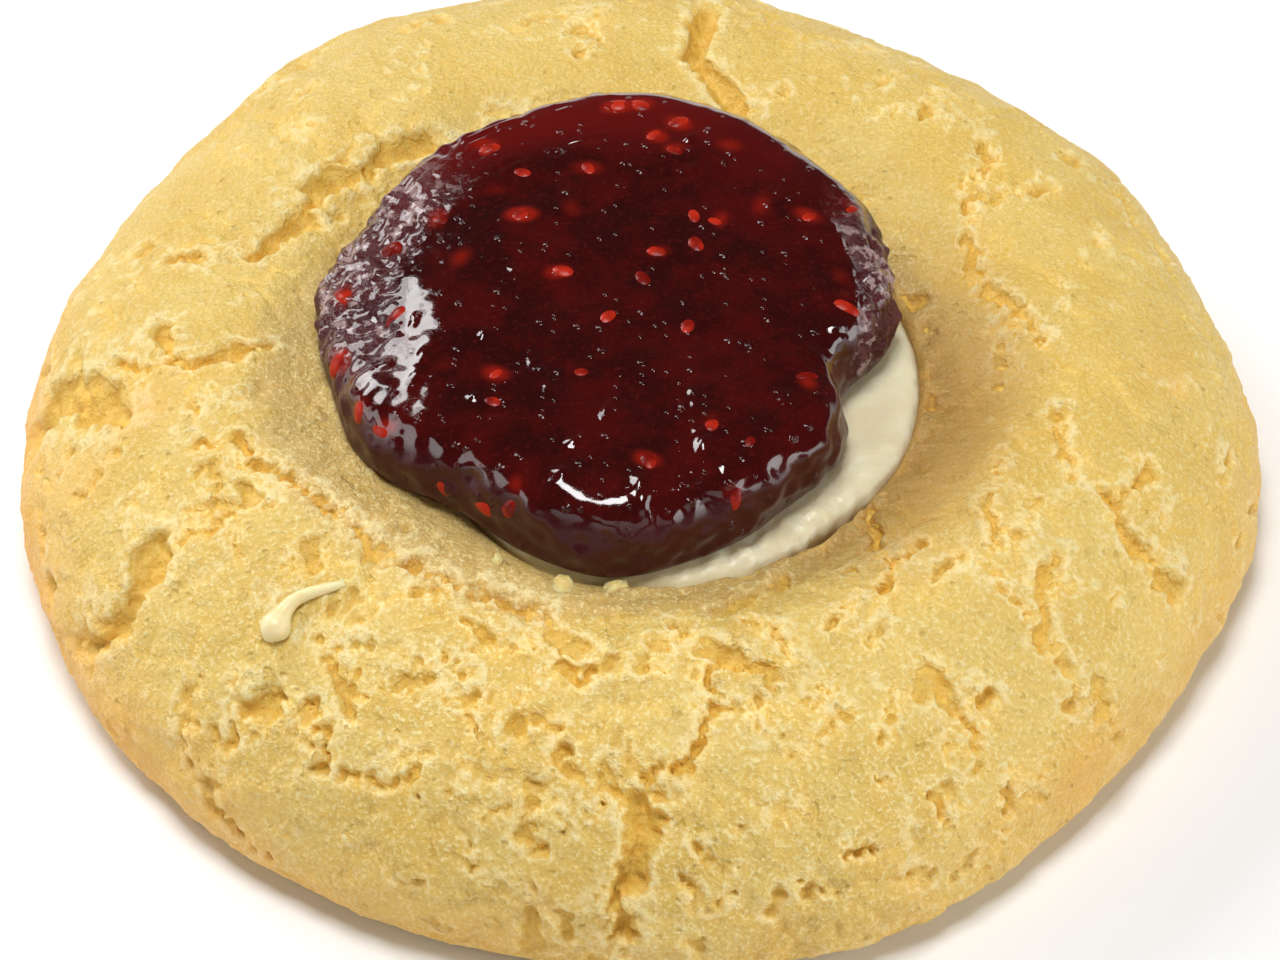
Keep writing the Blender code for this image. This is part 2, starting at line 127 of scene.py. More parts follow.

# The cracks that show, as (width, depth, route). A route's stops are pixels of the picture, read off it, and
# seen_spots finds the dough under them. A route of one stop is a pit.
CRACKS = [
    # Front: the hollow at the head of the main crack, the crack down to the rim, and its fork
    (1.9, 1.0, [(711, 647), (745, 664)]),
    (1.3, 1.2, [(725, 655), (711, 683), (717, 706), (700, 740), (683, 765), (644, 776)]),
    (2.5, 1.5, [(638, 799), (647, 827), (636, 855), (630, 883), (619, 902), (622, 939)]),
    (1.1, 0.9, [(717, 706), (748, 712), (756, 728)]),
    # Front, left of it
    (1.4, 1.0, [(552, 667), (577, 681), (596, 669)]),
    (1.1, 0.8, [(445, 650), (467, 672)]),
    (1.1, 0.8, [(448, 695), (473, 703)]),
    (1.3, 0.9, [(512, 728), (535, 731), (566, 734)]),
    (1.1, 0.8, [(504, 599), (529, 611)]),
    (1.1, 0.7, [(546, 616), (554, 630)]),
    (1.3, 0.8, [(669, 619), (683, 636)]),
    (1.1, 0.8, [(557, 773), (582, 782), (594, 801)]),
    (1.1, 0.8, [(411, 779), (417, 799)]),
    (1.0, 0.7, [(479, 818), (498, 813)]),
    (1.0, 0.7, [(523, 829), (540, 813)]),
    (1.1, 0.8, [(476, 849), (470, 871)]),
    (1.1, 0.8, [(566, 914), (563, 944)]),
    # Front, right of it
    (1.3, 1.0, [(946, 673), (943, 700), (958, 714), (975, 735)]),
    (1.2, 0.9, [(926, 791), (940, 797), (946, 820)]),
    (1.4, 1.1, [(849, 852), (867, 855)]),
    (1.1, 0.8, [(815, 681), (832, 698)]),
    (1.1, 0.7, [(745, 619), (779, 627)]),
    (1.1, 0.7, [(890, 691), (911, 697)]),
    (1.0, 0.7, [(882, 776), (890, 788)]),
    (1.1, 0.8, [(914, 873), (931, 883)]),
    (1.1, 0.8, [(683, 877), (697, 902)]),
    # The ring that broke open round the left of the well
    (1.5, 1.2, [(195, 440), (236, 436), (266, 465), (318, 503), (356, 533)]),
    (1.6, 1.2, [(356, 533), (411, 563), (480, 590), (540, 605)]),
    # Left: the wide torn hollow that runs in from the rim, and the crack from it to the jam
    (5.2, 1.5, [(38, 434), (60, 400), (90, 410)]),
    (3.4, 1.1, [(90, 410), (120, 418)]),
    (1.6, 1.1, [(121, 363), (151, 369), (186, 363), (233, 349), (262, 350)]),
    (1.8, 1.0, [(162, 330), (165, 355)]),
    # Lower left: a fine crack that opens towards the rim, and a hollow in the rim itself
    (1.1, 0.9, [(282, 503), (228, 517), (200, 528), (165, 550)]),
    (2.8, 1.4, [(162, 550), (148, 574), (137, 596), (110, 629), (88, 654)]),
    (3.4, 1.0, [(52, 591)]),
    (1.3, 0.9, [(365, 645), (354, 676), (346, 703), (348, 720)]),
    (1.7, 1.2, [(239, 720), (258, 709), (282, 700), (304, 706), (318, 739), (321, 769)]),
    (1.3, 0.9, [(236, 722), (236, 747), (228, 755)]),
    (1.3, 0.9, [(184, 720), (181, 744), (189, 763)]),
    (1.3, 0.9, [(346, 774), (384, 785), (420, 777)]),
    (1.3, 1.0, [(208, 802), (225, 816), (244, 835), (269, 859)]),
    # Back left: a broad trench close to the jam, and a hollow beyond it
    (2.6, 1.2, [(428, 148), (370, 168), (321, 186), (302, 219), (255, 252)]),
    (2.4, 0.9, [(192, 250), (175, 255)]),
    (1.0, 0.6, [(288, 140), (321, 121)]),
    # Back
    (1.3, 1.0, [(591, 11), (580, 36), (594, 39), (582, 56)]),
    (2.5, 1.6, [(709, 17), (692, 56), (714, 79), (731, 95), (739, 115)]),
    (1.3, 0.8, [(782, 90)]),
    # Back right, with its branch
    (1.3, 0.9, [(933, 97), (930, 119)]),
    (1.2, 0.9, [(986, 138), (993, 161), (978, 176), (970, 211), (967, 235), (973, 264)]),
    (1.2, 0.9, [(973, 264), (984, 293), (1017, 311), (1046, 341)]),
    (1.1, 0.8, [(993, 202), (1031, 188), (1052, 188)]),
    (1.1, 0.7, [(1099, 241)]),
    (1.1, 0.7, [(1153, 261)]),
    # Right
    (1.2, 0.8, [(1061, 409), (1066, 432), (1072, 464), (1075, 482)]),
    (1.5, 1.0, [(1099, 494), (1116, 499), (1137, 491), (1149, 473)]),
    (2.0, 1.0, [(1113, 502), (1137, 538), (1160, 564), (1178, 599)]),
    (1.7, 0.9, [(1052, 555), (1046, 576), (1044, 608), (1043, 649)]),
    (1.6, 1.1, [(864, 517), (879, 543), (883, 564), (885, 582)]),
    (1.3, 0.8, [(990, 505), (996, 543)]),
    (1.6, 0.8, [(1058, 662), (1078, 691), (1072, 711)]),
    (1.1, 0.8, [(1014, 776), (1008, 805), (1008, 829)]),
]
ROUTE_SPACING = 4

# Short slits and pits that are scattered over the crown, most of them in front
SLIT_COUNT = 110
SLIT_LENGTH = (0.5, 2.4)
SLIT_WIDTH = (0.7, 1.4)
SLIT_DEPTH = (0.4, 0.75)
SLIT_REACH = (24.0, 47.0)
SLIT_STOPS = 9

# How brown the rim is, and where more or less so: (bearing, how much, how wide in degrees)
RIM_BROWNING = 0.5
BROWNED_SIDES = [(178, 0.5, 45), (138, 0.35, 30), (280, -0.2, 50)]

# Browned spots on the dough: (pixel across, pixel down, size)
BROWNED_SPOTS = [(148, 401, 3.0), (1175, 375, 3.0), (1078, 776, 3.0), (85, 480, 4.0)]
SPOT_BROWNING = 0.35

# The disc of cream cheese
CREAM_SECTION = [
    (0.0, 12.5),
    (10.0, 12.5),
    (17.4, 12.5),
    (18.1, 13.1),
    (18.4, 14.5),
    (18.3, 15.3),
    (17.8, 15.9),
    (16.8, 16.2),
    (15.0, 16.3),
    (10.0, 16.3),
]
CREAM_TOP = (0.0, 16.3)
CREAM_CENTRE = (-0.5, -3.0)
CREAM_SWELLS = [(220, -3.0, 27), (312, -0.7, 16), (30, 0.2, 30)]
CREAM_LIPS = [(262, 0.75, 60), (345, 0.6, 35)]
# The cream's front left, tinted dough yellow and painted lighter with warm bounce light against the jam's
# shadow
STAIN_AND_BOUNCE_ZONE = (232, 42)
CREAM_RUFFLE = (290, 50)
CREAM_COLUMNS = 260
CREAM_SPACING = 0.4
CREAM_STRETCH = (8.0, 18.0)

# The puck of jam
JAM_SECTION = [
    (12.0, 16.75),
    (17.4, 16.85),
    (18.6, 17.2),
    (19.1, 17.9),
    (19.0, 19.4),
    (18.5, 20.8),
    (17.7, 21.8),
    (16.4, 22.3),
    (14.0, 22.4),
    (9.0, 22.4),
    (0.0, 22.4),
]
JAM_BOTTOM = (0.0, 16.75)
JAM_CENTRE = (-2.3, -2.2)
JAM_SWELLS = [
    (8, 0.4, 10),
    (30, 1.1, 13),
    (52, 0.8, 18),
    (84, 2.4, 30),
    (127, 0.6, 13),
    (162, 0.5, 11),
    (193, -0.9, 15),
    (235, -2.1, 20),
    (272, 0.7, 11),
    (313, -0.6, 13),
    (343, -2.8, 13),
]
JAM_COLUMNS = 560
JAM_SPACING = 0.22
JAM_STRETCH = (6.0, 18.0)
JAM_RIPPLE = 0.2
SHOULDER_REACH = (9.0, 19.0)
SHOULDER_DROP = 0.42
SKIRT_REACH = (14.5, 18.0)
SKIRT_HEIGHTS = (18.6, 17.4)
SKIRT_DROP = 0.75

# Zones of the jam, as (bearing, width in degrees). It doesn't sag where it hangs over the cream
SHOULDER_ZONE = (172, 42)
HANGING_ZONE = (340, 45)
# The left and right zones where the jam's skin is crinkled and painted with a pale sheen and highlights
LEFT_CRINKLE_AND_SHEEN = (163, 29)
RIGHT_CRINKLE_AND_SHEEN = (3, 22)
WRINKLED_ZONE = (112, 30)
THIN_ZONE = (105, 45)

# The seeds that show best, read off the picture: (pixel across, pixel down, slope in the picture). More
# follow by rule
SEED_SIZE = (2.2, 1.5, 1.1)
SEED_SUNK = (0.43, 0.52)
SEED_GLOW = (2.3, 1.5)
CLEAR_SEEDS = [
    (523, 172, 70),
    (588, 168, 0),
    (520, 214, 5),
    (436, 220, 60),
    (563, 271, 10),
    (383, 248, 90),
    (485, 146, 170),
    (344, 294, 100),
    (674, 152, 10),
    (653, 136, 155),
    (678, 123, 160),
    (641, 105, 0),
    (618, 107, 10),
    (694, 217, 20),
    (715, 221, 60),
    (696, 245, 75),
    (656, 252, 10),
    (643, 278, 5),
    (809, 217, 155),
    (854, 207, 130),
    (394, 317, 120),
    (496, 374, 155),
    (493, 401, 25),
    (581, 372, 130),
    (339, 365, 90),
    (358, 416, 110),
    (379, 432, 0),
    (441, 487, 150),
    (485, 508, 170),
    (509, 508, 60),
    (608, 317, 30),
    (688, 326, 20),
    (712, 425, 90),
    (807, 375, 105),
    (648, 460, 160),
    (750, 442, 20),
    (736, 500, 40),
    (846, 307, 110),
]
SEED_COUNT = 26
SEED_REACH = 17.0
SEED_GAP = 2.3

# Wet ridges on the jam that catch the light, read off the picture:
# (pixel across, pixel down, slope in the picture, length, width, height)
WET_RIDGES = [
    (517, 278, 112, 2.0, 0.6, 0.30),
    (420, 365, 68, 3.4, 0.8, 0.35),
    (540, 374, 117, 3.8, 0.9, 0.35),
    (385, 363, 15, 1.2, 0.8, 0.30),
    (573, 442, 60, 1.4, 0.8, 0.30),
    (559, 476, 50, 1.6, 1.0, 0.35),
    (413, 321, 80, 1.0, 0.6, 0.30),
    (484, 334, 75, 1.0, 0.5, 0.25),
    (473, 397, 60, 0.8, 0.6, 0.25),
    (606, 411, 75, 1.8, 0.6, 0.30),
    (693, 398, 100, 1.7, 0.5, 0.30),
    (703, 441, 95, 4.0, 1.2, 0.40),
    (642, 493, 110, 3.0, 1.5, 0.45),
    (722, 462, 115, 1.5, 0.4, 0.25),
    (784, 397, 70, 1.1, 0.8, 0.30),
    (813, 355, 140, 1.6, 0.9, 0.35),
    (837, 332, 60, 2.2, 1.1, 0.35),
    (856, 297, 20, 1.6, 1.1, 0.35),
    (690, 140, 30, 1.4, 0.5, 0.30),
    (692, 169, 30, 1.0, 0.6, 0.25),
    (725, 162, 105, 1.1, 0.4, 0.25),
    (846, 263, 130, 1.0, 0.5, 0.25),
]

# Crumbs along the edge of the well: (pixel across, pixel down, size)
EDGE_CRUMBS = [
    (563, 586, 1.2),
    (617, 590, 1.4),
    (497, 562, 1.0),
    (660, 588, 0.9),
    (726, 576, 0.9),
    (640, 594, 0.8),
]

# The strand of cream on the dough: (pixel across, pixel down, thickness) of each of its stops
STRAND_LIFT = 0.15
STRAND = [
    (345, 585, 0.5),
    (318, 592, 0.8),
    (295, 600, 0.9),
    (283, 614, 1.2),
    (276, 628, 2.3),
    (270, 638, 1.6),
    (268, 643, 0.4),
]

# Colours, as linear red, green and blue. A pair holds the two ends of an uneven colour
CRUST_COLOURS = (0.74, 0.495, 0.107), (0.775, 0.545, 0.143)
MOIST_COLOUR = (0.58, 0.385, 0.132)
# Lighter grain: partly the crumb's own, partly a painted glisten highlight
GRAIN_AND_GLISTEN_COLOUR = (0.90, 0.745, 0.345)
DULL_GRAIN = (0.68, 0.43, 0.07)
LIP_COLOUR = (0.92, 0.79, 0.42)
# Painted shade for the dough's slope down into the well at the right
MOAT_SHADE_COLOUR = (0.475, 0.255, 0.055)
BROWNED_COLOUR = (0.90, 0.46, 0.085)
# Darker golden painted into the cracks, pits and hollows as shade, partly the crumb's own golden tone
HOLLOW_SHADE_COLOURS = (0.69, 0.39, 0.042), (0.785, 0.52, 0.10)
CRUMB_COLOURS = (0.78, 0.56, 0.19), (0.86, 0.69, 0.32)
CREAM_COLOURS = (0.80, 0.70, 0.46), (0.85, 0.77, 0.54)
# Dough-yellow tint with painted warm bounce light, for the cream's front left under the jam's shadow
STAIN_AND_BOUNCE_COLOUR = (0.90, 0.68, 0.30)
STRAND_COLOURS = (0.83, 0.68, 0.32), (0.89, 0.78, 0.45)
JAM_COLOURS = (0.024, 0.0009, 0.0007), (0.055, 0.0014, 0.0011)
JAM_GRAIN = (0.11, 0.008, 0.006)
JAM_THIN = (0.12, 0.004, 0.003)
JAM_OVER_SEED = (0.26, 0.009, 0.003)
JAM_SIDE = (0.045, 0.0015, 0.003)
# Painted mauve sheen and pale highlight flakes for the jam's crinkled skin, in place of its reflections
JAM_SKIN_SHEEN = (0.12, 0.026, 0.030)
JAM_FOIL_HIGHLIGHT = (0.50, 0.35, 0.34)
SEED_COLOURS = (0.15, 0.004, 0.002), (0.46, 0.022, 0.007)
FLOOR_COLOUR = (0.93, 0.93, 0.93, 1.0)

# How far red, green and blue light travel under the surface
DOUGH_SCATTER = (1.2, 0.7, 0.25)
CREAM_SCATTER = (1.5, 1.1, 0.7)

# The light panels, as (name, place, size, power), and the floor, in metres and watts
PANELS = [
    ("top_panel", (-0.05, -0.05, 0.9), (0.32, 0.32), 5.6),
    ("back_left_panel", (-0.55, 0.55, 0.5), (0.4, 0.4), 4.1),
    ("front_panel", (0.1, -1.1, 0.45), (1.4, 0.5), 1.85),
    ("right_panel", (0.95, -0.25, 0.3), (0.6, 0.6), 4.9),
    ("left_panel", (-0.95, -0.1, 0.3), (0.5, 0.5), 2.0),
]
WORLD_LIGHT = 0.05
FLOOR_REACH = 2.5
FLOOR_GAP = 0.00005


def smooth_step(values, low, high):
    """0 below low, 1 above high and a soft ramp between them."""
    share = np.clip((np.asarray(values, float) - low) / (high - low), 0.0, 1.0)
    return share * share * (3.0 - 2.0 * share)


def turned_by(bearings, middle):
    """How far each bearing lies from the middle one, from -180 to 180."""
    return (np.asarray(bearings, float) - middle + 180.0) % 360.0 - 180.0


def towards(bearings, middle, spread, power=2):
    """1 at the middle bearing and softly less away from it. A higher power makes the zone squarer."""
    return np.exp(-((turned_by(bearings, middle) / spread) ** power))


def swell_at(bearings, swells):
    """What the swells, each (bearing, height, width), add up to at each bearing."""
    total = np.zeros_like(np.asarray(bearings, float))
    for middle, height, spread in swells:
        total += height * towards(bearings, middle, spread)
    return total


def ripple(points, size, lane):
    """Smooth noise from about -1 to 1 over bumps of this size. Each lane is a different noise."""
    shift = Vector((lane * 31.7, lane * 17.3, lane * 7.9))
    return np.array([noise.noise(Vector(point) / size + shift) for point in points])


def cell_walls(points, size, lane):
    """How far each point is from the nearest wall between cells of this size, as a share of the size."""
    shift = Vector((lane * 31.7, lane * 17.3, lane * 7.9))
    walls = []
    for point in points:
        near, _ = noise.voronoi(Vector(point) / size + shift)
        walls.append(near[1] - near[0])
    return np.array(walls)


def curve_through(stops, spacing):
    """A smooth curve through the stops, with its points about this far apart."""
    padded = [stops[0], *stops, stops[-1]]
    found = [stops[0]]
    for before, start, end, after in zip(padded, padded[1:], padded[2:], padded[3:]):
        count = max(1, round(math.dist(start, end) / spacing))
        for step in range(1, count + 1):
            t = step / count
            found.append(tuple(blend(t, *line) for line in zip(before, start, end, after)))
    return found


def blend(t, a, b, c, d):
    """One coordinate of the Catmull-Rom curve from b to c."""
    return 0.5 * (2 * b + (c - a) * t + (2 * a - 5 * b + 4 * c - d) * t**2 + (3 * b - a - 3 * c + d) * t**3)


def spun_mesh(name, section, columns):
    """The solid that the section makes when it turns once about the Z axis."""
    bm = bmesh.new()
    verts = [bm.verts.new((radius, 0.0, height)) for radius, height in section]
    edges = [bm.edges.new(pair) for pair in zip(verts, verts[1:])]
    turn = math.tau / SECTORS
    axis = {"cent": (0, 0, 0), "axis": (0, 0, 1)}
    bmesh.ops.spin(bm, geom=verts + edges, angle=turn, steps=columns // SECTORS, **axis)
    first = bm.verts[:] + bm.edges[:] + bm.faces[:]
    for index in range(1, SECTORS):
        copied = bmesh.ops.duplicate(bm, geom=first)["geom"]
        moved = [item for item in copied if isinstance(item, bmesh.types.BMVert)]
        bmesh.ops.rotate(bm, verts=moved, cent=(0, 0, 0), matrix=Matrix.Rotation(turn * index, 3, "Z"))
    mesh = mesh_of(bm, name)
    weld(mesh)
    return mesh


def mesh_of(bm, name):
    """The bmesh as a smooth mesh. It uses the bmesh up."""
    mesh = bpy.data.meshes.new(name)
    bm.to_mesh(mesh)
    bm.free()
    mesh.shade_smooth()
    return mesh


def weld(mesh):
    """Joins the vertices that lie at one spot, closing poles and seams, and turns the faces out."""
    bm = bmesh.new()
    bm.from_mesh(mesh)
    bmesh.ops.remove_doubles(bm, verts=bm.verts, dist=WELD_DISTANCE)
    bmesh.ops.recalc_face_normals(bm, faces=bm.faces)
    bm.to_mesh(mesh)
    bm.free()
    mesh.shade_smooth()


def points_of(mesh, field="co"):
    """The mesh's vertex positions or normals, as an array with a row for each vertex."""
    flat = np.empty(len(mesh.vertices) * 3, np.float32)
    mesh.vertices.foreach_get(field, flat)
    return flat.reshape(-1, 3).astype(float)


def move_points(mesh, points):
    mesh.vertices.foreach_set("co", points.astype(np.float32).ravel())
    mesh.update()


def paint(mesh, name, values):
    """Stores a value from 0 to 1 at each vertex, for the material to read."""
    layer = mesh.attributes.new(name, "FLOAT", "POINT")
    layer.data.foreach_set("value", np.clip(values, 0.0, 1.0).astype(np.float32))


def polar(points, centre=(0.0, 0.0)):
    """Each point's distance from the centre's upright line, and its bearing."""
    across = points[:, 0] - centre[0]
    along = points[:, 1] - centre[1]
    return np.hypot(across, along), np.degrees(np.arctan2(along, across))


def push_out(points, swells, start, end):
    """Moves the points outwards by the outline's swells, from none at the start radius to all at the end."""
    radius, bearing = polar(points)
    share = smooth_step(radius, start, end)
    grown = 1.0 + share * swell_at(bearing, swells) / np.maximum(radius, 1.0)
    return points * np.column_stack([grown, grown, np.ones(len(points))])


def shape_dough(points):
    """Gives the turned dough its uneven outline, and moves and shapes its well."""
    radius, bearing = polar(points)
    shaped = push_out(points, DOUGH_SWELLS, *DOUGH_STRETCH)
    on_top = points[:, 2] > TOP_HALF
    pinch = np.where(on_top, 1.0 - smooth_step(radius, *WELL_PINCH), 0.0)
    pinch = pinch * np.minimum(radius / WELL_RADIUS, 1.0)
    drawn = 1.0 + pinch * swell_at(bearing, WELL_SWELLS) / np.maximum(radius, 1.0)
    share = np.where(on_top, 1.0 - smooth_step(radius, *WELL_SHIFT), 0.0)
    shaped[:, 0] = shaped[:, 0] * drawn + share * WELL_CENTRE[0]
    shaped[:, 1] = shaped[:, 1] * drawn + share * WELL_CENTRE[1]
    return shaped


def spots_on_crown(stops):
    """The places on the dough at these (reach, bearing) stops."""
    curve = np.array(curve_through(CROWN_SECTION, DOUGH_SPACING))
    steps = np.hypot(*np.diff(curve, axis=0).T)
    reaches = CROWN_SECTION[0][0] + np.concatenate([[0.0], np.cumsum(steps)])
    reach, bearing = np.array(stops, float).T
    radius = np.interp(reach, reaches, curve[:, 0])
    height = np.interp(reach, reaches, curve[:, 1])
    angle = np.radians(bearing)
    return shape_dough(np.column_stack([radius * np.cos(angle), radius * np.sin(angle), height]))


def surface_of(mesh):
    """A tree of the mesh's surface, for finding where a line meets it."""
    bm = bmesh.new()
    bm.from_mesh(mesh)
    tree = BVHTree.FromBMesh(bm)
    bm.free()
    return tree


def seen_spots(surface, pixels):
    """The places on the surface that the camera sees at these pixels. A pixel that misses it gives none."""
    rise = math.radians(CAMERA_RISE)
    ahead = Vector((0.0, math.cos(rise), -math.sin(rise)))
    upwards = Vector((0.0, math.sin(rise), math.cos(rise)))
    camera = Vector(CAMERA_AIM) - ahead * CAMERA_DISTANCE
    spots = []
    for across, down in pixels:
        right = Vector((across - PICTURE_SIZE[0] / 2, 0.0, 0.0))
        line = ahead * PIXELS_PER_MM * CAMERA_DISTANCE + upwards * (PICTURE_SIZE[1] / 2 - down) + right
        hit = surface.ray_cast(camera, line.normalized())[0]
        if hit is not None:
            spots.append(tuple(hit))
    return np.array(spots).reshape(-1, 3)


def fine_route(stops):
    """The stops with others between them, close together."""
    found = [stops[0]]
    for start, end in zip(stops, stops[1:]):
        count = max(1, math.ceil(math.dist(start, end) / ROUTE_SPACING))
        for step in range(1, count + 1):
            found.append(tuple(a + (b - a) * step / count for a, b in zip(start, end)))
    return found


def seen_cracks(surface):
    """The cracks that show, each with its route on the dough."""
    return [(width, depth, seen_spots(surface, fine_route(stops))) for width, depth, stops in CRACKS]


def scattered_slits():
    """Short slits at random places on the crown, each as (width, depth, route on the dough)."""
    rng = random.Random(SLIT_DRAW)
    slits = []
    while len(slits) < SLIT_COUNT:
        reach = rng.uniform(*SLIT_REACH)
        bearing = rng.uniform(0, 360)
        in_front = towards(bearing, *SLIT_ZONE)
        if rng.random() > 0.2 + 0.8 * in_front:
            continue
        length = rng.uniform(*SLIT_LENGTH)
        heading = rng.uniform(0, math.tau)
        end = (reach + length * math.cos(heading), bearing + math.degrees(length * math.sin(heading) / reach))
        width = rng.uniform(*SLIT_WIDTH)
        start, stop = spots_on_crown([(reach, bearing), end])
        slits.append((width, width * rng.uniform(*SLIT_DEPTH), np.linspace(start, stop, SLIT_STOPS)))
    return slits


def crack_sink(points, cracks):
    """How deep each point lies in a crack, and how near it is to a lip. A crack is steep at its front lip."""
    wander = np.column_stack([ripple(points, 2.4, lane) for lane in (1, 2, 3)])
    jitter = np.column_stack([ripple(points, 0.7, lane) for lane in (12, 13, 14)])
    rough = points + CRACK_WANDER * wander + CRACK_JITTER * jitter
    uneven = np.maximum(1.0 + 0.8 * ripple(points, 2.4, 25) + 0.4 * ripple(points, 0.9, 38), 0.3)
    sink = np.zeros(len(points))
    rim = np.zeros(len(points))
    for width, depth, route in cracks:
        reach = width + 0.8
        low, high = route.min(axis=0) - reach, route.max(axis=0) + reach
        near = np.flatnonzero(((rough > low) & (rough < high)).all(axis=1))
        if not len(near):
            continue
        every = np.linalg.norm(rough[near, None, :] - route[None, :, :], axis=2)
        gaps = every.min(axis=1)
        behind = (rough[near] - route[every.argmin(axis=1)])[:, 1] / np.maximum(gaps, 0.05)
        half = width * uneven[near] * (CRACK_HALF + CRACK_LEAN * np.clip(behind, -1.0, 1.0))
        share = gaps / half
        fall = CRACK_DEPTH_SHARE * depth * (1.0 - smooth_step(share, 0.05, 1.12))
        sink[near] = np.maximum(sink[near], fall)
        rim[near] = np.maximum(rim[near], np.exp(-(((share - 1.3) / 0.45) ** 2)))
    return sink, rim * (sink < 0.1)


def torn_crust(points, crumbly):
    """Irregular hollows where the crust tore open, as a depth, and how near each point is to their lips."""
    shape = ripple(points, 3.8, 41) + 0.45 * ripple(points, 1.4, 42) + 0.22 * ripple(points, 0.6, 43)
    shape -= TORN_SHARE + 0.3 * (1.0 - crumbly)
    return TORN_DEPTH * smooth_step(shape, 0.0, 0.24), np.exp(-(((shape + 0.06) / 0.06) ** 2))


def crazed(points):
    """A broken net of hairline cracks between patches of crust, as a depth."""
    bent = points + 1.1 * np.column_stack([ripple(points, 2.0, lane) for lane in (15, 16, 17)])
    walls = cell_walls(bent, CRAZE_SIZE, 3)
    patchy = smooth_step(ripple(points, 6.0, 18), -0.05, 0.25)
    return CRAZE_DEPTH * patchy * (1.0 - smooth_step(walls, 0.02, 0.1))


def crumbs(points, size, lane):
    """Rounded crumbs of this size with sharp valleys between them, from -0.5 to about 0.5."""
    return 2.0 * np.abs(ripple(points, size, lane)) - 0.5


def dip_at(points, surface):
    """How far each point lies down in the crown's broad dips."""
    total = np.zeros(len(points))
    for across, down, depth, size in DENTS:
        for middle in seen_spots(surface, [(across, down)]):
            total += depth * np.exp(-((np.linalg.norm(points - middle, axis=1) / size) ** 2))
    return total


def roughen_dough(mesh, surface):
    """Raises the crown's lumps, opens its cracks, and paints where the crust is sunk, browned or moist and
    where painted shade falls.
    """
    points = points_of(mesh)
    from_well, well_bearing = polar(points, WELL_CENTRE)
    crown = smooth_step(from_well, 18.7, 19.6) * smooth_step(points[:, 2], 0.3, 2.5)
    _, bearing = polar(points)
    crumbly = 0.4 + 0.6 * towards(bearing, *CRUMBLY_ZONE)
    crumbly = np.maximum(crumbly, 0.9 * np.exp(-(((from_well - 20.0) / 3.0) ** 2)))
    sink, rim = crack_sink(points, seen_cracks(surface) + scattered_slits())
    torn_sink, torn_rim = torn_crust(points, crumbly)
    rim = np.maximum(rim, torn_rim) * (np.maximum(sink, torn_sink) < 0.12)
    sink = np.maximum(sink, torn_sink)
    lift = BROAD_LUMP * ripple(points, 9.0, 5) + SMALL_LUMP * ripple(points, 3.2, 6)
    crumb = CRUMB_LUMP * crumbs(points, 2.3, 9) + FINE_CRUMB * crumbs(points, 1.0, 10)
    lift += crumbly * crumb - crazed(points) - dip_at(points, surface)
    edge = smooth_step(points[:, 2], 14.0, 15.5) * smooth_step(from_well, 21.0, 19.0)
    lift += 0.5 * edge * ripple(points, 1.4, 30) + LIP_HEIGHT * rim
    move_points(mesh, points + points_of(mesh, "normal") * (crown * (lift - sink))[:, None])
    # How deep the crust is sunk, which the material also paints darker golden as shade
    paint(mesh, "sunk", crown * sink / FULL_SINK)
    paint(mesh, "crumbly", crown * crumbly)
    paint(mesh, "mottle", 0.5 + 0.4 * ripple(points, 6.0, 44) + 0.2 * ripple(points, 2.5, 45))
    paint(mesh, "lip", crown * rim)
    paint(mesh, "browned", browning(points, surface))
    paint(mesh, "moist", moistness(points, from_well, well_bearing))
    # Painted shade on the dough's slope down into the well at the right
    paint(mesh, "moat_shade", towards(well_bearing, *MOAT_SHADE_ZONE) * smooth_step(from_well, *MOAT_SHADE_REACH))


def browning(points, surface):
    """How far the crust has browned: most at the rim, and in a few spots."""
    radius, bearing = polar(points)
    rim = smooth_step(radius - swell_at(bearing, DOUGH_SWELLS), 37.5, 42.0)
    low = 1.0 - smooth_step(points[:, 2], 1.0, 12.0)
    brown = (RIM_BROWNING + swell_at(bearing, BROWNED_SIDES)) * rim * (0.35 + 0.65 * low)
    for across, down, size in BROWNED_SPOTS:
        for spot in seen_spots(surface, [(across, down)]):
            brown += SPOT_BROWNING * np.exp(-((np.linalg.norm(points - spot, axis=1) / size) ** 2))
    return brown + 0.12 * ripple(points, 5.0, 19)


def moistness(points, from_well, bearing):
    """Where the dough is pale from the filling: close round the well, and furthest at the left."""
    edge = MOIST_REACH + MOIST_SIDE * towards(bearing, *MOIST_ZONE) + 1.2 * ripple(points, 3.0, 20)
    return 1.0 - smooth_step(from_well, edge - 1.0, edge + 2.5)


def crowd_columns(points):
    """Turns the columns towards the front, where the dough is most broken and needs the finest mesh."""
    radius, bearing = polar(points)
    angle = np.radians(bearing)
    angle = angle - COLUMN_CROWDING * np.cos(angle)
    return np.column_stack([radius * np.cos(angle), radius * np.sin(angle), points[:, 2]])


def slope_shoulder(points):
    """Lowers the jam's left side into the broad slope that it has there."""
    radius, bearing = polar(points)
    outer = smooth_step(radius, *SHOULDER_REACH)
    share = SHOULDER_DROP * towards(bearing, *SHOULDER_ZONE) * outer
    floor = JAM_BOTTOM[1]
    sloped = points.copy()
    sloped[:, 2] = floor + (points[:, 2] - floor) * (1.0 - share)
    return sloped


def droop_skirt(points):
    """Lets the jam's lower edge sag until it lies on what is under it."""
    radius, bearing = polar(points)
    resting = 1.0 - towards(bearing, *HANGING_ZONE, 4)
    share = resting * smooth_step(radius, *SKIRT_REACH) * smooth_step(points[:, 2], *SKIRT_HEIGHTS)
    sagged = points.copy()
    sagged[:, 2] -= SKIRT_DROP * share
    return sagged


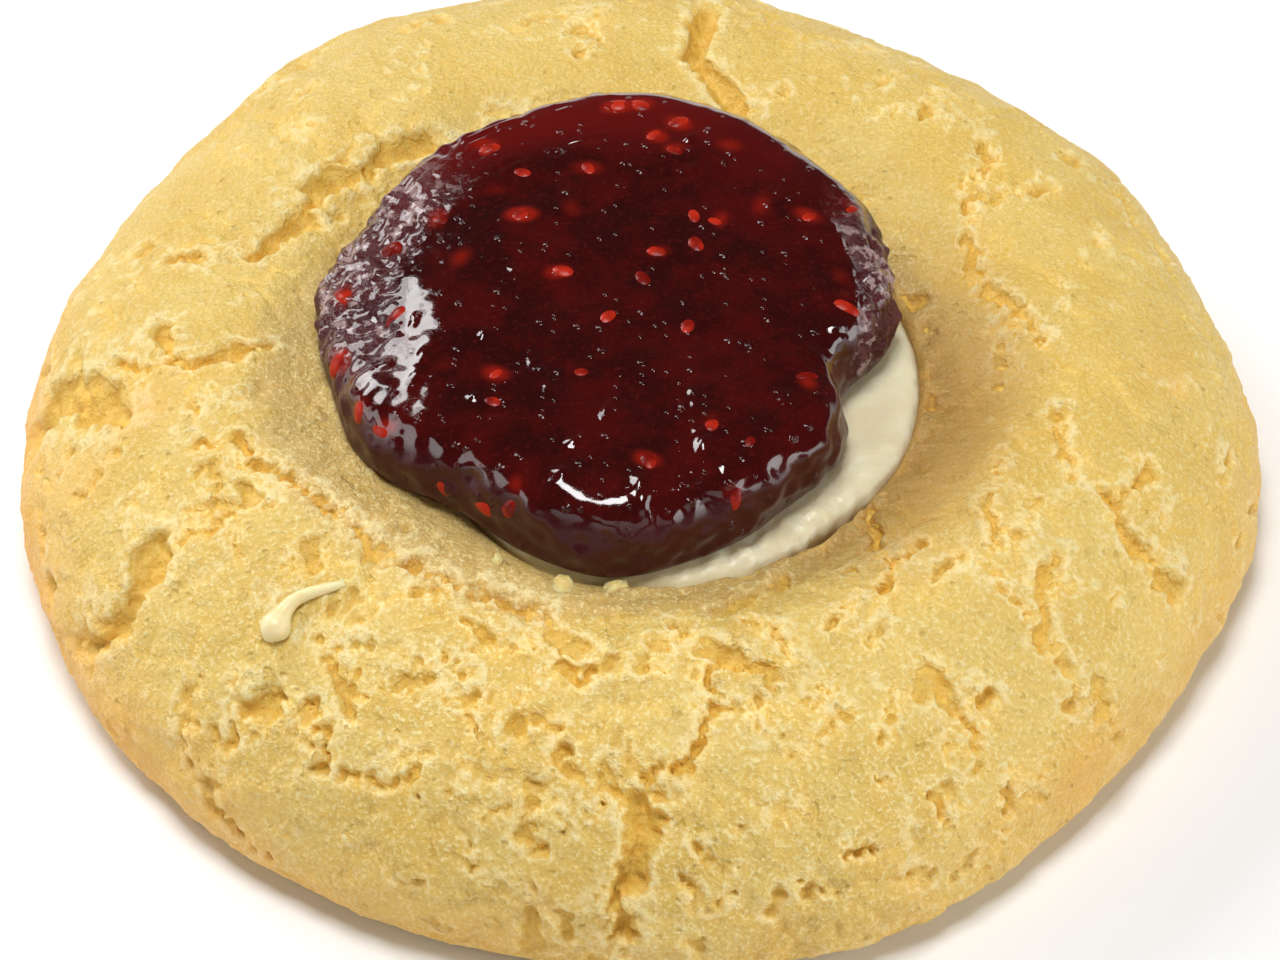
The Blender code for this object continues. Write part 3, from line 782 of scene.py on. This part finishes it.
def long_spots(placed, spots, power):
    """How near each point is to the nearest of some long spots, each (x, y, turn, length, width)."""
    nearest = np.zeros(len(placed))
    for across, along, turn, length, width in spots:
        heading = math.radians(turn)
        right, ahead = placed[:, 0] - across, placed[:, 1] - along
        forward = (right * math.cos(heading) + ahead * math.sin(heading)) / (length / 2)
        aside = (ahead * math.cos(heading) - right * math.sin(heading)) / (width / 2)
        nearest = np.maximum(nearest, np.exp(-((forward**2 + aside**2) ** power)))
    return nearest


def jam_zones(radius, bearing):
    """Where the jam's skin is crinkled like foil and takes a painted pale sheen, where it has long wrinkles
    and where it is thin.
    """
    left = towards(bearing, *LEFT_CRINKLE_AND_SHEEN, 4) * smooth_step(radius, 13.0, 14.4)
    right = towards(bearing, *RIGHT_CRINKLE_AND_SHEEN, 4) * smooth_step(radius, 16.4, 17.2)
    wrinkled = towards(bearing, *WRINKLED_ZONE, 4) * smooth_step(radius, 13.2, 14.2)
    thin = (0.25 + 0.75 * towards(bearing, *THIN_ZONE)) * smooth_step(radius, 12.0, 18.0)
    return np.maximum(left, right), wrinkled, thin


def seen_turn(slope):
    """The bearing on the ground, in degrees, of a line that slopes like this in the picture."""
    angle = math.radians(slope)
    return math.degrees(math.atan2(math.sin(angle) / math.sin(math.radians(CAMERA_RISE)), math.cos(angle)))


def ruffle_jam(mesh, surface, seeds):
    """Gives the jam its ripples, its crinkled skin and the swellings over its seeds."""
    points = points_of(mesh) - [*JAM_CENTRE, 0.0]
    radius, bearing = polar(points)
    above = smooth_step(points[:, 2], 17.0, 18.5)
    points[:, 2] += JAM_RIPPLE * above * ripple(points, 4.5, 8)
    crinkle_and_sheen, wrinkled, thin = jam_zones(radius, bearing)
    lift = 0.05 * above * ripple(points, 2.2, 23) + 0.03 * above * ripple(points, 0.9, 24)
    lift += above * crinkle_and_sheen * (0.3 * crumbs(points, 1.9, 21) + 0.24 * crumbs(points, 0.8, 22))
    waves = np.sin(radius * math.tau / 0.95 + 5.0 * ripple(points, 3.5, 26))
    lift += 0.11 * above * wrinkled * waves * smooth_step(ripple(points, 1.8, 27), -0.2, 0.2)
    side = smooth_step(points[:, 2], 17.0, 17.6) * smooth_step(points[:, 2], 22.0, 20.5)
    lift += side * (0.5 * ripple(points, 3.0, 35) + 0.25 * ripple(points, 1.2, 36))
    placed = points + [*JAM_CENTRE, 0.0]
    uneven = 0.7 + 0.8 * ripple(points, 0.8, 28)
    for across, down, slope, length, width, height in WET_RIDGES:
        for spot in seen_spots(surface, [(across, down)]):
            ridge = long_spots(placed, [(*spot[:2], seen_turn(slope), length, width)], 1.0)
            lift += above * height * ridge * uneven
    upright = smooth_step(points_of(mesh, "normal")[:, 2], 0.3, 0.7)
    spots = [(*spot[:2], turn, *SEED_GLOW) for spot, turn in seeds]
    clear, deep = spots[: len(CLEAR_SEEDS)], spots[len(CLEAR_SEEDS) :]
    glow = np.maximum(long_spots(placed, clear, 1.3), 0.4 * long_spots(placed, deep, 1.0)) * upright
    lift += 0.05 * above * glow
    move_points(mesh, placed + points_of(mesh, "normal") * lift[:, None])
    paint(mesh, "seed_glow", glow * (0.6 + 1.3 * ripple(points, 3.5, 29)))
    paint(mesh, "side", 1.0 - upright)
    paint(mesh, "rim_glow", thin)
    # Where the skin is crinkled, which the material also paints with a pale sheen and highlights
    paint(mesh, "crinkle_and_sheen", above * crinkle_and_sheen)


def all_seeds(surface):
    """The seeds that show best, then others that a sunflower's rule spreads between them, as (spot, turn)."""
    rng = random.Random(SPREAD_DRAW)
    golden = math.pi * (3.0 - math.sqrt(5.0))
    seeds = []
    for across, down, slope in CLEAR_SEEDS:
        for spot in seen_spots(surface, [(across, down)]):
            seeds.append((Vector(spot), seen_turn(slope)))
    for index in range(SEED_COUNT):
        reach = SEED_REACH * math.sqrt((index + 0.5) / SEED_COUNT)
        across = JAM_CENTRE[0] + reach * math.cos(index * golden)
        along = JAM_CENTRE[1] + reach * math.sin(index * golden)
        spot = surface.ray_cast(Vector((across, along, 60.0)), Vector((0, 0, -1)))[0]
        if spot is not None and min((spot - other).length for other, _ in seeds) > SEED_GAP:
            seeds.append((spot, rng.uniform(0, 180)))
    return seeds


def finish_mesh(name, mesh, node):
    """Scales the mesh to metres and adds it as a piece that stands for the node."""
    mesh.transform(Matrix.Scale(MM, 4))
    piece = bpy.data.objects.new(name, mesh)
    bpy.context.scene.collection.objects.link(piece)
    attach(piece, "root")
    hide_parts(node)
    return piece


def make_dough():
    curve = curve_through(CROWN_SECTION, DOUGH_SPACING)
    mesh = spun_mesh("cookie_dough", [*WELL_SECTION, *curve, *BASE_SECTION], DOUGH_COLUMNS)
    move_points(mesh, shape_dough(crowd_columns(points_of(mesh))))
    surface = surface_of(mesh)
    roughen_dough(mesh, surface)
    return mesh, surface


def make_crumbs(surface):
    """Lumps of dough that broke off along the edge of the well, near the cream."""
    rng = random.Random(CRUMB_DRAW)
    bm = bmesh.new()
    for across, down, size in EDGE_CRUMBS:
        spot = Vector(seen_spots(surface, [(across, down)])[0])
        shape = Matrix.Diagonal((rng.uniform(0.8, 1.3), rng.uniform(0.8, 1.3), rng.uniform(0.6, 0.9), 1.0))
        place = Matrix.Translation(spot) @ shape
        made = bmesh.ops.create_icosphere(bm, subdivisions=4, radius=size / 2, matrix=place)
        for vert in made["verts"]:
            outwards = (vert.co - spot).normalized()
            bump = 0.18 * noise.noise(vert.co / 0.6) + 0.1 * noise.noise(vert.co / 0.25)
            vert.co += outwards * size * bump
    return mesh_of(bm, "edge_crumbs")


def make_cream():
    section = curve_through([*CREAM_SECTION[2:], CREAM_TOP], CREAM_SPACING)
    mesh = spun_mesh("cream_disc", [*CREAM_SECTION[:2], *section], CREAM_COLUMNS)
    points = push_out(points_of(mesh), [*CREAM_SWELLS, *CREAM_LIPS], *CREAM_STRETCH)
    above = smooth_step(points[:, 2], 12.8, 14.0)
    radius, bearing = polar(points)
    lip = towards(bearing, *CREAM_RUFFLE) * smooth_step(radius, 15.0, 17.0)
    lift = above * (0.1 * ripple(points, 4.0, 31) + 0.04 * ripple(points, 1.2, 32))
    lift += above * lip * (0.3 * crumbs(points, 1.5, 33) + 0.12 * ripple(points, 0.6, 34))
    # The front left, tinted dough yellow and painted lighter with warm bounce light against the jam's shadow
    paint(mesh, "stain_and_bounce", towards(bearing, *STAIN_AND_BOUNCE_ZONE, 4))
    move_points(mesh, points + [*CREAM_CENTRE, 0.0])
    move_points(mesh, points_of(mesh) + points_of(mesh, "normal") * lift[:, None])
    return mesh


def make_jam():
    section = [JAM_BOTTOM, *curve_through(JAM_SECTION, JAM_SPACING)]
    mesh = spun_mesh("jam_puck", section, JAM_COLUMNS)
    shaped = droop_skirt(slope_shoulder(push_out(points_of(mesh), JAM_SWELLS, *JAM_STRETCH)))
    move_points(mesh, shaped + [*JAM_CENTRE, 0.0])
    surface = surface_of(mesh)
    seeds = all_seeds(surface)
    ruffle_jam(mesh, surface, seeds)
    return mesh, seeds[: len(CLEAR_SEEDS)]


def make_seeds(jam_mesh, seeds):
    """The seeds, each sunk in the jam with its back showing."""
    surface = surface_of(jam_mesh)
    rng = random.Random(SINK_DRAW)
    bm = bmesh.new()
    for spot, turn in seeds:
        hit, normal, _, _ = surface.find_nearest(spot)
        lean = normal.to_track_quat("Z", "Y").to_matrix().to_4x4()
        sunk = rng.uniform(*SEED_SUNK)
        place = Matrix.Translation(hit - normal * sunk) @ lean @ Matrix.Rotation(math.radians(turn), 4, "Z")
        shape = place @ Matrix.Diagonal((*SEED_SIZE, 1.0))
        bmesh.ops.create_uvsphere(bm, u_segments=14, v_segments=9, radius=0.5, matrix=shape)
    return mesh_of(bm, "jam_seeds")


def make_strand(surface):
    """The short strand of cream on the dough, with a drop at its end."""
    curve = bpy.data.curves.new("cream_strand", "CURVE")
    curve.dimensions = "3D"
    curve.bevel_depth = 1.0
    curve.bevel_resolution = 4
    curve.resolution_u = 8
    curve.use_fill_caps = True
    spline = curve.splines.new("NURBS")
    spline.points.add(len(STRAND) - 1)
    spots = seen_spots(surface, [stop[:2] for stop in STRAND])
    for point, spot, (_, _, thickness) in zip(spline.points, spots, STRAND):
        point.co = (spot[0], spot[1], spot[2] + STRAND_LIFT, 1.0)
        point.radius = thickness / 2
    spline.use_endpoint_u = True
    spline.order_u = 3
    holder = bpy.data.objects.new("strand", curve)
    mesh = bpy.data.meshes.new_from_object(holder)
    bpy.data.objects.remove(holder)
    mesh.name = "cream_strand"
    weld(mesh)
    return mesh


def new_group(name, inputs, output):
    """An empty node group with a Position input, these other inputs as (name, value), and one output."""
    group = bpy.data.node_groups.new(name, "ShaderNodeTree")
    group.interface.new_socket("Position", in_out="INPUT", socket_type="NodeSocketVector")
    for label, value in inputs:
        group.interface.new_socket(label, in_out="INPUT", socket_type="NodeSocketFloat").default_value = value
    group.interface.new_socket(output, in_out="OUTPUT", socket_type="NodeSocketFloat")
    return group, group.nodes.new("NodeGroupInput"), group.nodes.new("NodeGroupOutput")


def math_node(tree, operation, first, second):
    """A sum on two values, each a socket or a plain number."""
    node = tree.nodes.new("ShaderNodeMath")
    node.operation = operation
    for socket, value in zip(node.inputs, (first, second)):
        if isinstance(value, (int, float)):
            socket.default_value = value
        else:
            tree.links.new(value, socket)
    return node.outputs[0]


def soft_range(tree, value, low, high, bottom=0.0, top=1.0):
    """The value taken from the range low to high to the range bottom to top, with soft ends."""
    node = tree.nodes.new("ShaderNodeMapRange")
    node.interpolation_type = "SMOOTHSTEP"
    for label, limit in (("From Min", low), ("From Max", high), ("To Min", bottom), ("To Max", top)):
        if isinstance(limit, (int, float)):
            node.inputs[label].default_value = limit
        else:
            tree.links.new(limit, node.inputs[label])
    tree.links.new(value, node.inputs["Value"])
    return node.outputs["Result"]


def noise_node(tree, position, scale, detail=3.0, roughness=0.55):
    node = tree.nodes.new("ShaderNodeTexNoise")
    tree.links.new(position, node.inputs["Vector"])
    for label, value in (("Scale", scale), ("Detail", detail), ("Roughness", roughness)):
        if isinstance(value, (int, float)):
            node.inputs[label].default_value = value
        else:
            tree.links.new(value, node.inputs[label])
    return node


def grain_group():
    """Uneven grain. Size is the width of its bumps in millimetres."""
    inputs = [("Size", 1.0), ("Detail", 3.0), ("Roughness", 0.55)]
    group, given, result = new_group("grain", inputs, "Height")
    scale = math_node(group, "DIVIDE", 1.0 / MM, given.outputs["Size"])
    sockets = given.outputs
    made = noise_node(group, sockets["Position"], scale, sockets["Detail"], sockets["Roughness"])
    group.links.new(made.outputs["Fac"], result.inputs["Height"])
    return group


def speck_group():
    """Round specks. Size is their cells' width in millimetres, Spread each speck's share of its cell."""
    inputs = [("Size", 1.0), ("Spread", 0.3), ("Share", 0.5)]
    group, given, result = new_group("specks", inputs, "Dome")
    scale = math_node(group, "DIVIDE", 1.0 / MM, given.outputs["Size"])
    cells = group.nodes.new("ShaderNodeTexVoronoi")
    group.links.new(given.outputs["Position"], cells.inputs["Vector"])
    group.links.new(scale, cells.inputs["Scale"])
    dome = soft_range(group, cells.outputs["Distance"], 0.0, given.outputs["Spread"], 1.0, 0.0)
    drawn = group.nodes.new("ShaderNodeSeparateColor")
    group.links.new(cells.outputs["Color"], drawn.inputs[0])
    shown = math_node(group, "LESS_THAN", drawn.outputs[0], given.outputs["Share"])
    group.links.new(math_node(group, "MULTIPLY", dome, shown), result.inputs["Dome"])
    return group


class Recipe:
    """A material under construction, with short ways to add its nodes."""

    def __init__(self, name):
        self.material = bpy.data.materials.new(name)
        self.material.use_nodes = True
        self.tree = self.material.node_tree
        self.shader = self.tree.nodes["Principled BSDF"]
        self.place = self.tree.nodes.new("ShaderNodeTexCoord").outputs["Object"]

    def set(self, **values):
        for name, value in values.items():
            self.shader.inputs[name.replace("_", " ")].default_value = value

    def link(self, start, end):
        self.tree.links.new(start, end)

    def painted(self, name):
        node = self.tree.nodes.new("ShaderNodeAttribute")
        node.attribute_name = name
        return node.outputs["Fac"]

    def group(self, group, **values):
        """One of the shared groups, with its own values."""
        node = self.tree.nodes.new("ShaderNodeGroup")
        node.node_tree = group
        for label, value in values.items():
            node.inputs[label].default_value = value
        self.link(self.place, node.inputs["Position"])
        return node.outputs[0]

    def ramp(self, value, low, high, bottom=0.0, top=1.0):
        return soft_range(self.tree, value, low, high, bottom, top)

    def times(self, first, second):
        return math_node(self.tree, "MULTIPLY", first, second)

    def total(self, first, *others):
        """The sum of some values."""
        for other in others:
            first = math_node(self.tree, "ADD", first, other)
        return first

    def mix(self, share, first, second):
        """The first colour turning into the second."""
        node = self.tree.nodes.new("ShaderNodeMix")
        node.data_type = "RGBA"
        self.link(share, node.inputs["Factor"])
        for socket, colour in ((node.inputs[6], first), (node.inputs[7], second)):
            if isinstance(colour, tuple):
                socket.default_value = (*colour, 1.0)
            else:
                self.link(colour, socket)
        return node.outputs[2]

    def relief(self, height):
        """Bumps of this height, in millimetres."""
        node = self.tree.nodes.new("ShaderNodeBump")
        node.inputs["Distance"].default_value = MM
        self.link(height, node.inputs["Height"])
        self.link(node.outputs["Normal"], self.shader.inputs["Normal"])

    def colour(self, colour):
        self.link(colour, self.shader.inputs["Base Color"])


def dough_material(grain, specks):
    """Baked dough: pale crumbly lips, moist by the filling, browned at the rim, golden painted shade in its
    hollows.
    """
    made = Recipe("dough")
    crumbly = made.painted("crumbly")
    sunk = made.painted("sunk")
    strength = made.ramp(crumbly, 0.3, 0.9, 0.55, 1.0)
    fine = made.group(grain, Size=0.3, Detail=3.0, Roughness=0.6)
    crumb = made.group(grain, Size=0.8, Detail=3.0, Roughness=0.65)
    lumps = made.group(grain, Size=2.6, Detail=3.0, Roughness=0.6)
    mottle = made.painted("mottle")
    uneven = made.times(made.total(crumb, -0.5), 0.9)
    floor = made.ramp(made.total(sunk, uneven), 0.14, 0.44)
    lip = made.times(made.painted("lip"), made.ramp(crumb, 0.38, 0.55))
    hollows = made.times(made.ramp(made.total(lumps, made.times(uneven, 0.25)), 0.39, 0.30), crumbly)
    pits = made.group(specks, Size=1.1, Spread=0.24, Share=0.35)
    colour = made.mix(made.ramp(mottle, 0.35, 0.65), *CRUST_COLOURS)
    colour = made.mix(made.ramp(made.painted("moist"), 0.0, 1.0, 0.0, 0.8), colour, MOIST_COLOUR)
    # Lighter grain: partly the crumb's own, partly a painted glisten highlight
    grain_and_glisten = made.times(made.ramp(fine, 0.5, 0.68, 0.0, 0.9), strength)
    colour = made.mix(grain_and_glisten, colour, GRAIN_AND_GLISTEN_COLOUR)
    dull = made.times(made.ramp(fine, 0.47, 0.3, 0.0, 0.6), strength)
    colour = made.mix(dull, colour, DULL_GRAIN)
    colour = made.mix(made.times(lip, 0.7), colour, LIP_COLOUR)
    # Painted shade on the dough's slope down into the well at the right
    colour = made.mix(made.ramp(made.painted("moat_shade"), 0.0, 1.0, 0.0, 0.8), colour, MOAT_SHADE_COLOUR)
    colour = made.mix(made.ramp(made.painted("browned"), 0.0, 1.0, 0.0, 0.9), colour, BROWNED_COLOUR)
    # Darker golden in the cracks, pits and hollows: painted shade, partly the crumb's own golden tone
    recess_shade_colour = made.mix(made.ramp(crumb, 0.35, 0.65), *HOLLOW_SHADE_COLOURS)
    shade = made.total(made.times(floor, 0.85), made.times(pits, 0.5), made.times(hollows, 0.4))
    made.colour(made.mix(made.ramp(shade, 0.0, 1.0, 0.0, 0.95), colour, recess_shade_colour))
    raised = made.total(made.times(fine, 0.17), made.times(crumb, 0.34), made.times(hollows, -0.18))
    made.relief(made.total(raised, made.times(floor, -0.15), made.times(pits, -0.2)))
    made.link(made.ramp(fine, 0.48, 0.7, 0.55, 0.25), made.shader.inputs["Roughness"])
    made.set(Subsurface_Weight=0.5, Subsurface_Scale=MM, Subsurface_Radius=DOUGH_SCATTER)
    made.shader.subsurface_method = "BURLEY"
    return made.material


def crumb_material(grain):
    """Loose crumbs, paler and moister than the crust."""
    made = Recipe("crumb")
    crumb = made.group(grain, Size=0.5, Detail=4.0, Roughness=0.65)
    made.colour(made.mix(made.ramp(crumb, 0.35, 0.65), *CRUMB_COLOURS))
    made.relief(made.times(crumb, 0.2))
    made.set(Roughness=0.5)
    made.set(Subsurface_Weight=0.6, Subsurface_Scale=MM, Subsurface_Radius=DOUGH_SCATTER)
    return made.material


def cream_material(grain):
    made = Recipe("cream_cheese")
    cloud = made.group(grain, Size=3.0, Detail=3.0, Roughness=0.55)
    colour = made.mix(made.ramp(cloud, 0.35, 0.65), *CREAM_COLOURS)
    # Dough-yellow tint with painted warm bounce light on the cream's front left, under the jam's shadow
    made.colour(made.mix(made.painted("stain_and_bounce"), colour, STAIN_AND_BOUNCE_COLOUR))
    made.relief(made.times(made.group(grain, Size=1.2, Detail=4.0, Roughness=0.6), 0.14))
    made.set(Roughness=0.34)
    made.set(Subsurface_Weight=0.6, Subsurface_Scale=MM, Subsurface_Radius=CREAM_SCATTER)
    return made.material


def strand_material(grain):
    """Cream that ran out thin on the dough, so that the dough's yellow shows through."""
    made = Recipe("cream_strand")
    cloud = made.group(grain, Size=1.5, Detail=3.0, Roughness=0.55)
    made.colour(made.mix(made.ramp(cloud, 0.35, 0.65), *STRAND_COLOURS))
    made.set(Roughness=0.35, Subsurface_Weight=0.5, Subsurface_Scale=MM)
    return made.material


def jam_material(grain, specks):
    """Thick wet jam: nearly black where deep, red at its thin edge and seeds, with painted pale sheen and
    highlights where it crinkles.
    """
    made = Recipe("raspberry_jam")
    cloud = made.group(grain, Size=3.5, Detail=4.0, Roughness=0.6)
    dust = made.group(grain, Size=0.35, Detail=3.0, Roughness=0.7)
    crinkle = made.group(grain, Size=1.1, Detail=4.0, Roughness=0.62)
    film = made.group(grain, Size=4.0, Detail=3.0, Roughness=0.6)
    crinkle_and_sheen = made.painted("crinkle_and_sheen")
    bubbles = made.group(specks, Size=1.35, Spread=0.3, Share=0.5)
    specked = made.group(specks, Size=0.8, Spread=0.3, Share=0.3)
    colour = made.mix(made.ramp(cloud, 0.38, 0.66), *JAM_COLOURS)
    colour = made.mix(made.ramp(dust, 0.52, 0.75, 0.0, 0.5), colour, JAM_GRAIN)
    colour = made.mix(made.ramp(made.painted("rim_glow"), 0.0, 1.0, 0.0, 0.85), colour, JAM_THIN)
    glow = made.ramp(made.painted("seed_glow"), 0.05, 0.8, 0.0, 0.95)
    colour = made.mix(glow, colour, JAM_OVER_SEED)
    side = made.painted("side")
    colour = made.mix(made.times(side, 0.8), colour, JAM_SIDE)
    made.link(made.ramp(side, 0.2, 0.9, 0.08, 0.34), made.shader.inputs["Roughness"])
    made.link(made.ramp(side, 0.2, 0.9, 0.8, 0.1), made.shader.inputs["Coat Weight"])
    # Painted mauve sheen and pale highlight flakes on the crinkled skin, standing in for its reflections
    skin = made.times(made.ramp(film, 0.40, 0.60, 0.25, 0.85), crinkle_and_sheen)
    colour = made.mix(skin, colour, JAM_SKIN_SHEEN)
    pale = made.times(made.ramp(made.total(crinkle, made.times(film, 0.5)), 0.79, 0.86), crinkle_and_sheen)
    made.colour(made.mix(made.times(pale, 0.8), colour, JAM_FOIL_HIGHLIGHT))
    height = made.total(made.times(bubbles, 0.18), made.times(specked, 0.1), made.times(dust, 0.012))
    foil = made.total(made.times(crinkle, 0.9), made.times(dust, 0.22))
    made.relief(made.total(height, made.times(foil, crinkle_and_sheen)))
    made.set(IOR=1.34, Coat_Roughness=0.04)
    return made.material


def seed_material(grain):
    made = Recipe("raspberry_seed")
    cloud = made.group(grain, Size=3.5, Detail=3.0, Roughness=0.6)
    made.colour(made.mix(made.ramp(cloud, 0.40, 0.60), *SEED_COLOURS))
    made.relief(made.times(made.group(grain, Size=0.4, Detail=2.0, Roughness=0.5), 0.04))
    made.set(Roughness=0.3, Specular_IOR_Level=0.2)
    return made.material


def build_cookie():
    grain, specks = grain_group(), speck_group()
    dough, crown = make_dough()
    jam, seeds = make_jam()
    pieces = [
        ("cookie_dough", dough, "cookie", "dough", dough_material(grain, specks)),
        ("edge_crumbs", make_crumbs(crown), "cookie", "dough", crumb_material(grain)),
        ("cream_strand", make_strand(crown), "cookie", "cream_cheese", strand_material(grain)),
        ("cream_disc", make_cream(), "cream_cheese", "cream_cheese", cream_material(grain)),
        ("jam_seeds", make_seeds(jam, seeds), "raspberry_jam", "raspberry_jam", seed_material(grain)),
        ("jam_puck", jam, "raspberry_jam", "raspberry_jam", jam_material(grain, specks)),
    ]
    for name, mesh, node, slot, material in pieces:
        mesh.materials.clear()
        mesh.materials.append(material)
        finish_mesh(name, mesh, node)


def add_camera():
    """The camera at the photograph's angle, well back with a long lens."""
    rise = math.radians(CAMERA_RISE)
    aim = Vector(CAMERA_AIM) * MM
    away = Vector((0.0, -math.cos(rise), math.sin(rise))) * CAMERA_DISTANCE * MM
    data = bpy.data.cameras.new("camera")
    data.lens = SENSOR_WIDTH * PIXELS_PER_MM * CAMERA_DISTANCE / PICTURE_SIZE[0]
    data.sensor_width = SENSOR_WIDTH
    data.clip_start = 0.01
    camera = bpy.data.objects.new("camera", data)
    camera.location = aim + away
    camera.rotation_euler = (-away).to_track_quat("-Z", "Y").to_euler()
    bpy.context.scene.collection.objects.link(camera)
    bpy.context.scene.camera = camera


def add_panel(name, place, size, power):
    """A soft light panel that faces the cookie."""
    data = bpy.data.lights.new(name, "AREA")
    data.shape = "RECTANGLE"
    data.size, data.size_y = size
    data.energy = power
    lamp = bpy.data.objects.new(name, data)
    lamp.location = place
    lamp.rotation_euler = (-Vector(place)).to_track_quat("-Z", "Y").to_euler()
    bpy.context.scene.collection.objects.link(lamp)


def add_studio():
    for panel in PANELS:
        add_panel(*panel)
    world = bpy.data.worlds.new("studio")
    world.use_nodes = True
    world.node_tree.nodes["Background"].inputs["Color"].default_value = (1.0, 1.0, 1.0, 1.0)
    world.node_tree.nodes["Background"].inputs["Strength"].default_value = WORLD_LIGHT
    bpy.context.scene.world = world
    bpy.context.scene.view_settings.view_transform = "Standard"


def add_floor():
    bm = bmesh.new()
    bmesh.ops.create_grid(bm, x_segments=1, y_segments=1, size=FLOOR_REACH)
    mesh = mesh_of(bm, "floor")
    made = Recipe("pale_floor")
    made.set(Base_Color=FLOOR_COLOUR, Roughness=0.8)
    mesh.materials.append(made.material)
    floor = bpy.data.objects.new("floor", mesh)
    floor.location.z = -FLOOR_GAP
    bpy.context.scene.collection.objects.link(floor)


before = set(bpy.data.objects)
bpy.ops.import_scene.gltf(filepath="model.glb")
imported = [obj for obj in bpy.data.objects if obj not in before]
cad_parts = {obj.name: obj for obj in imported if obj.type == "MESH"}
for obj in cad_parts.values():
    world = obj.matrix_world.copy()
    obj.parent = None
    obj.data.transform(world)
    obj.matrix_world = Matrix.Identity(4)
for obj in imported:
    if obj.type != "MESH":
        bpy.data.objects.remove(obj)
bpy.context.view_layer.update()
add_camera()
build_cookie()
add_studio()
add_floor()
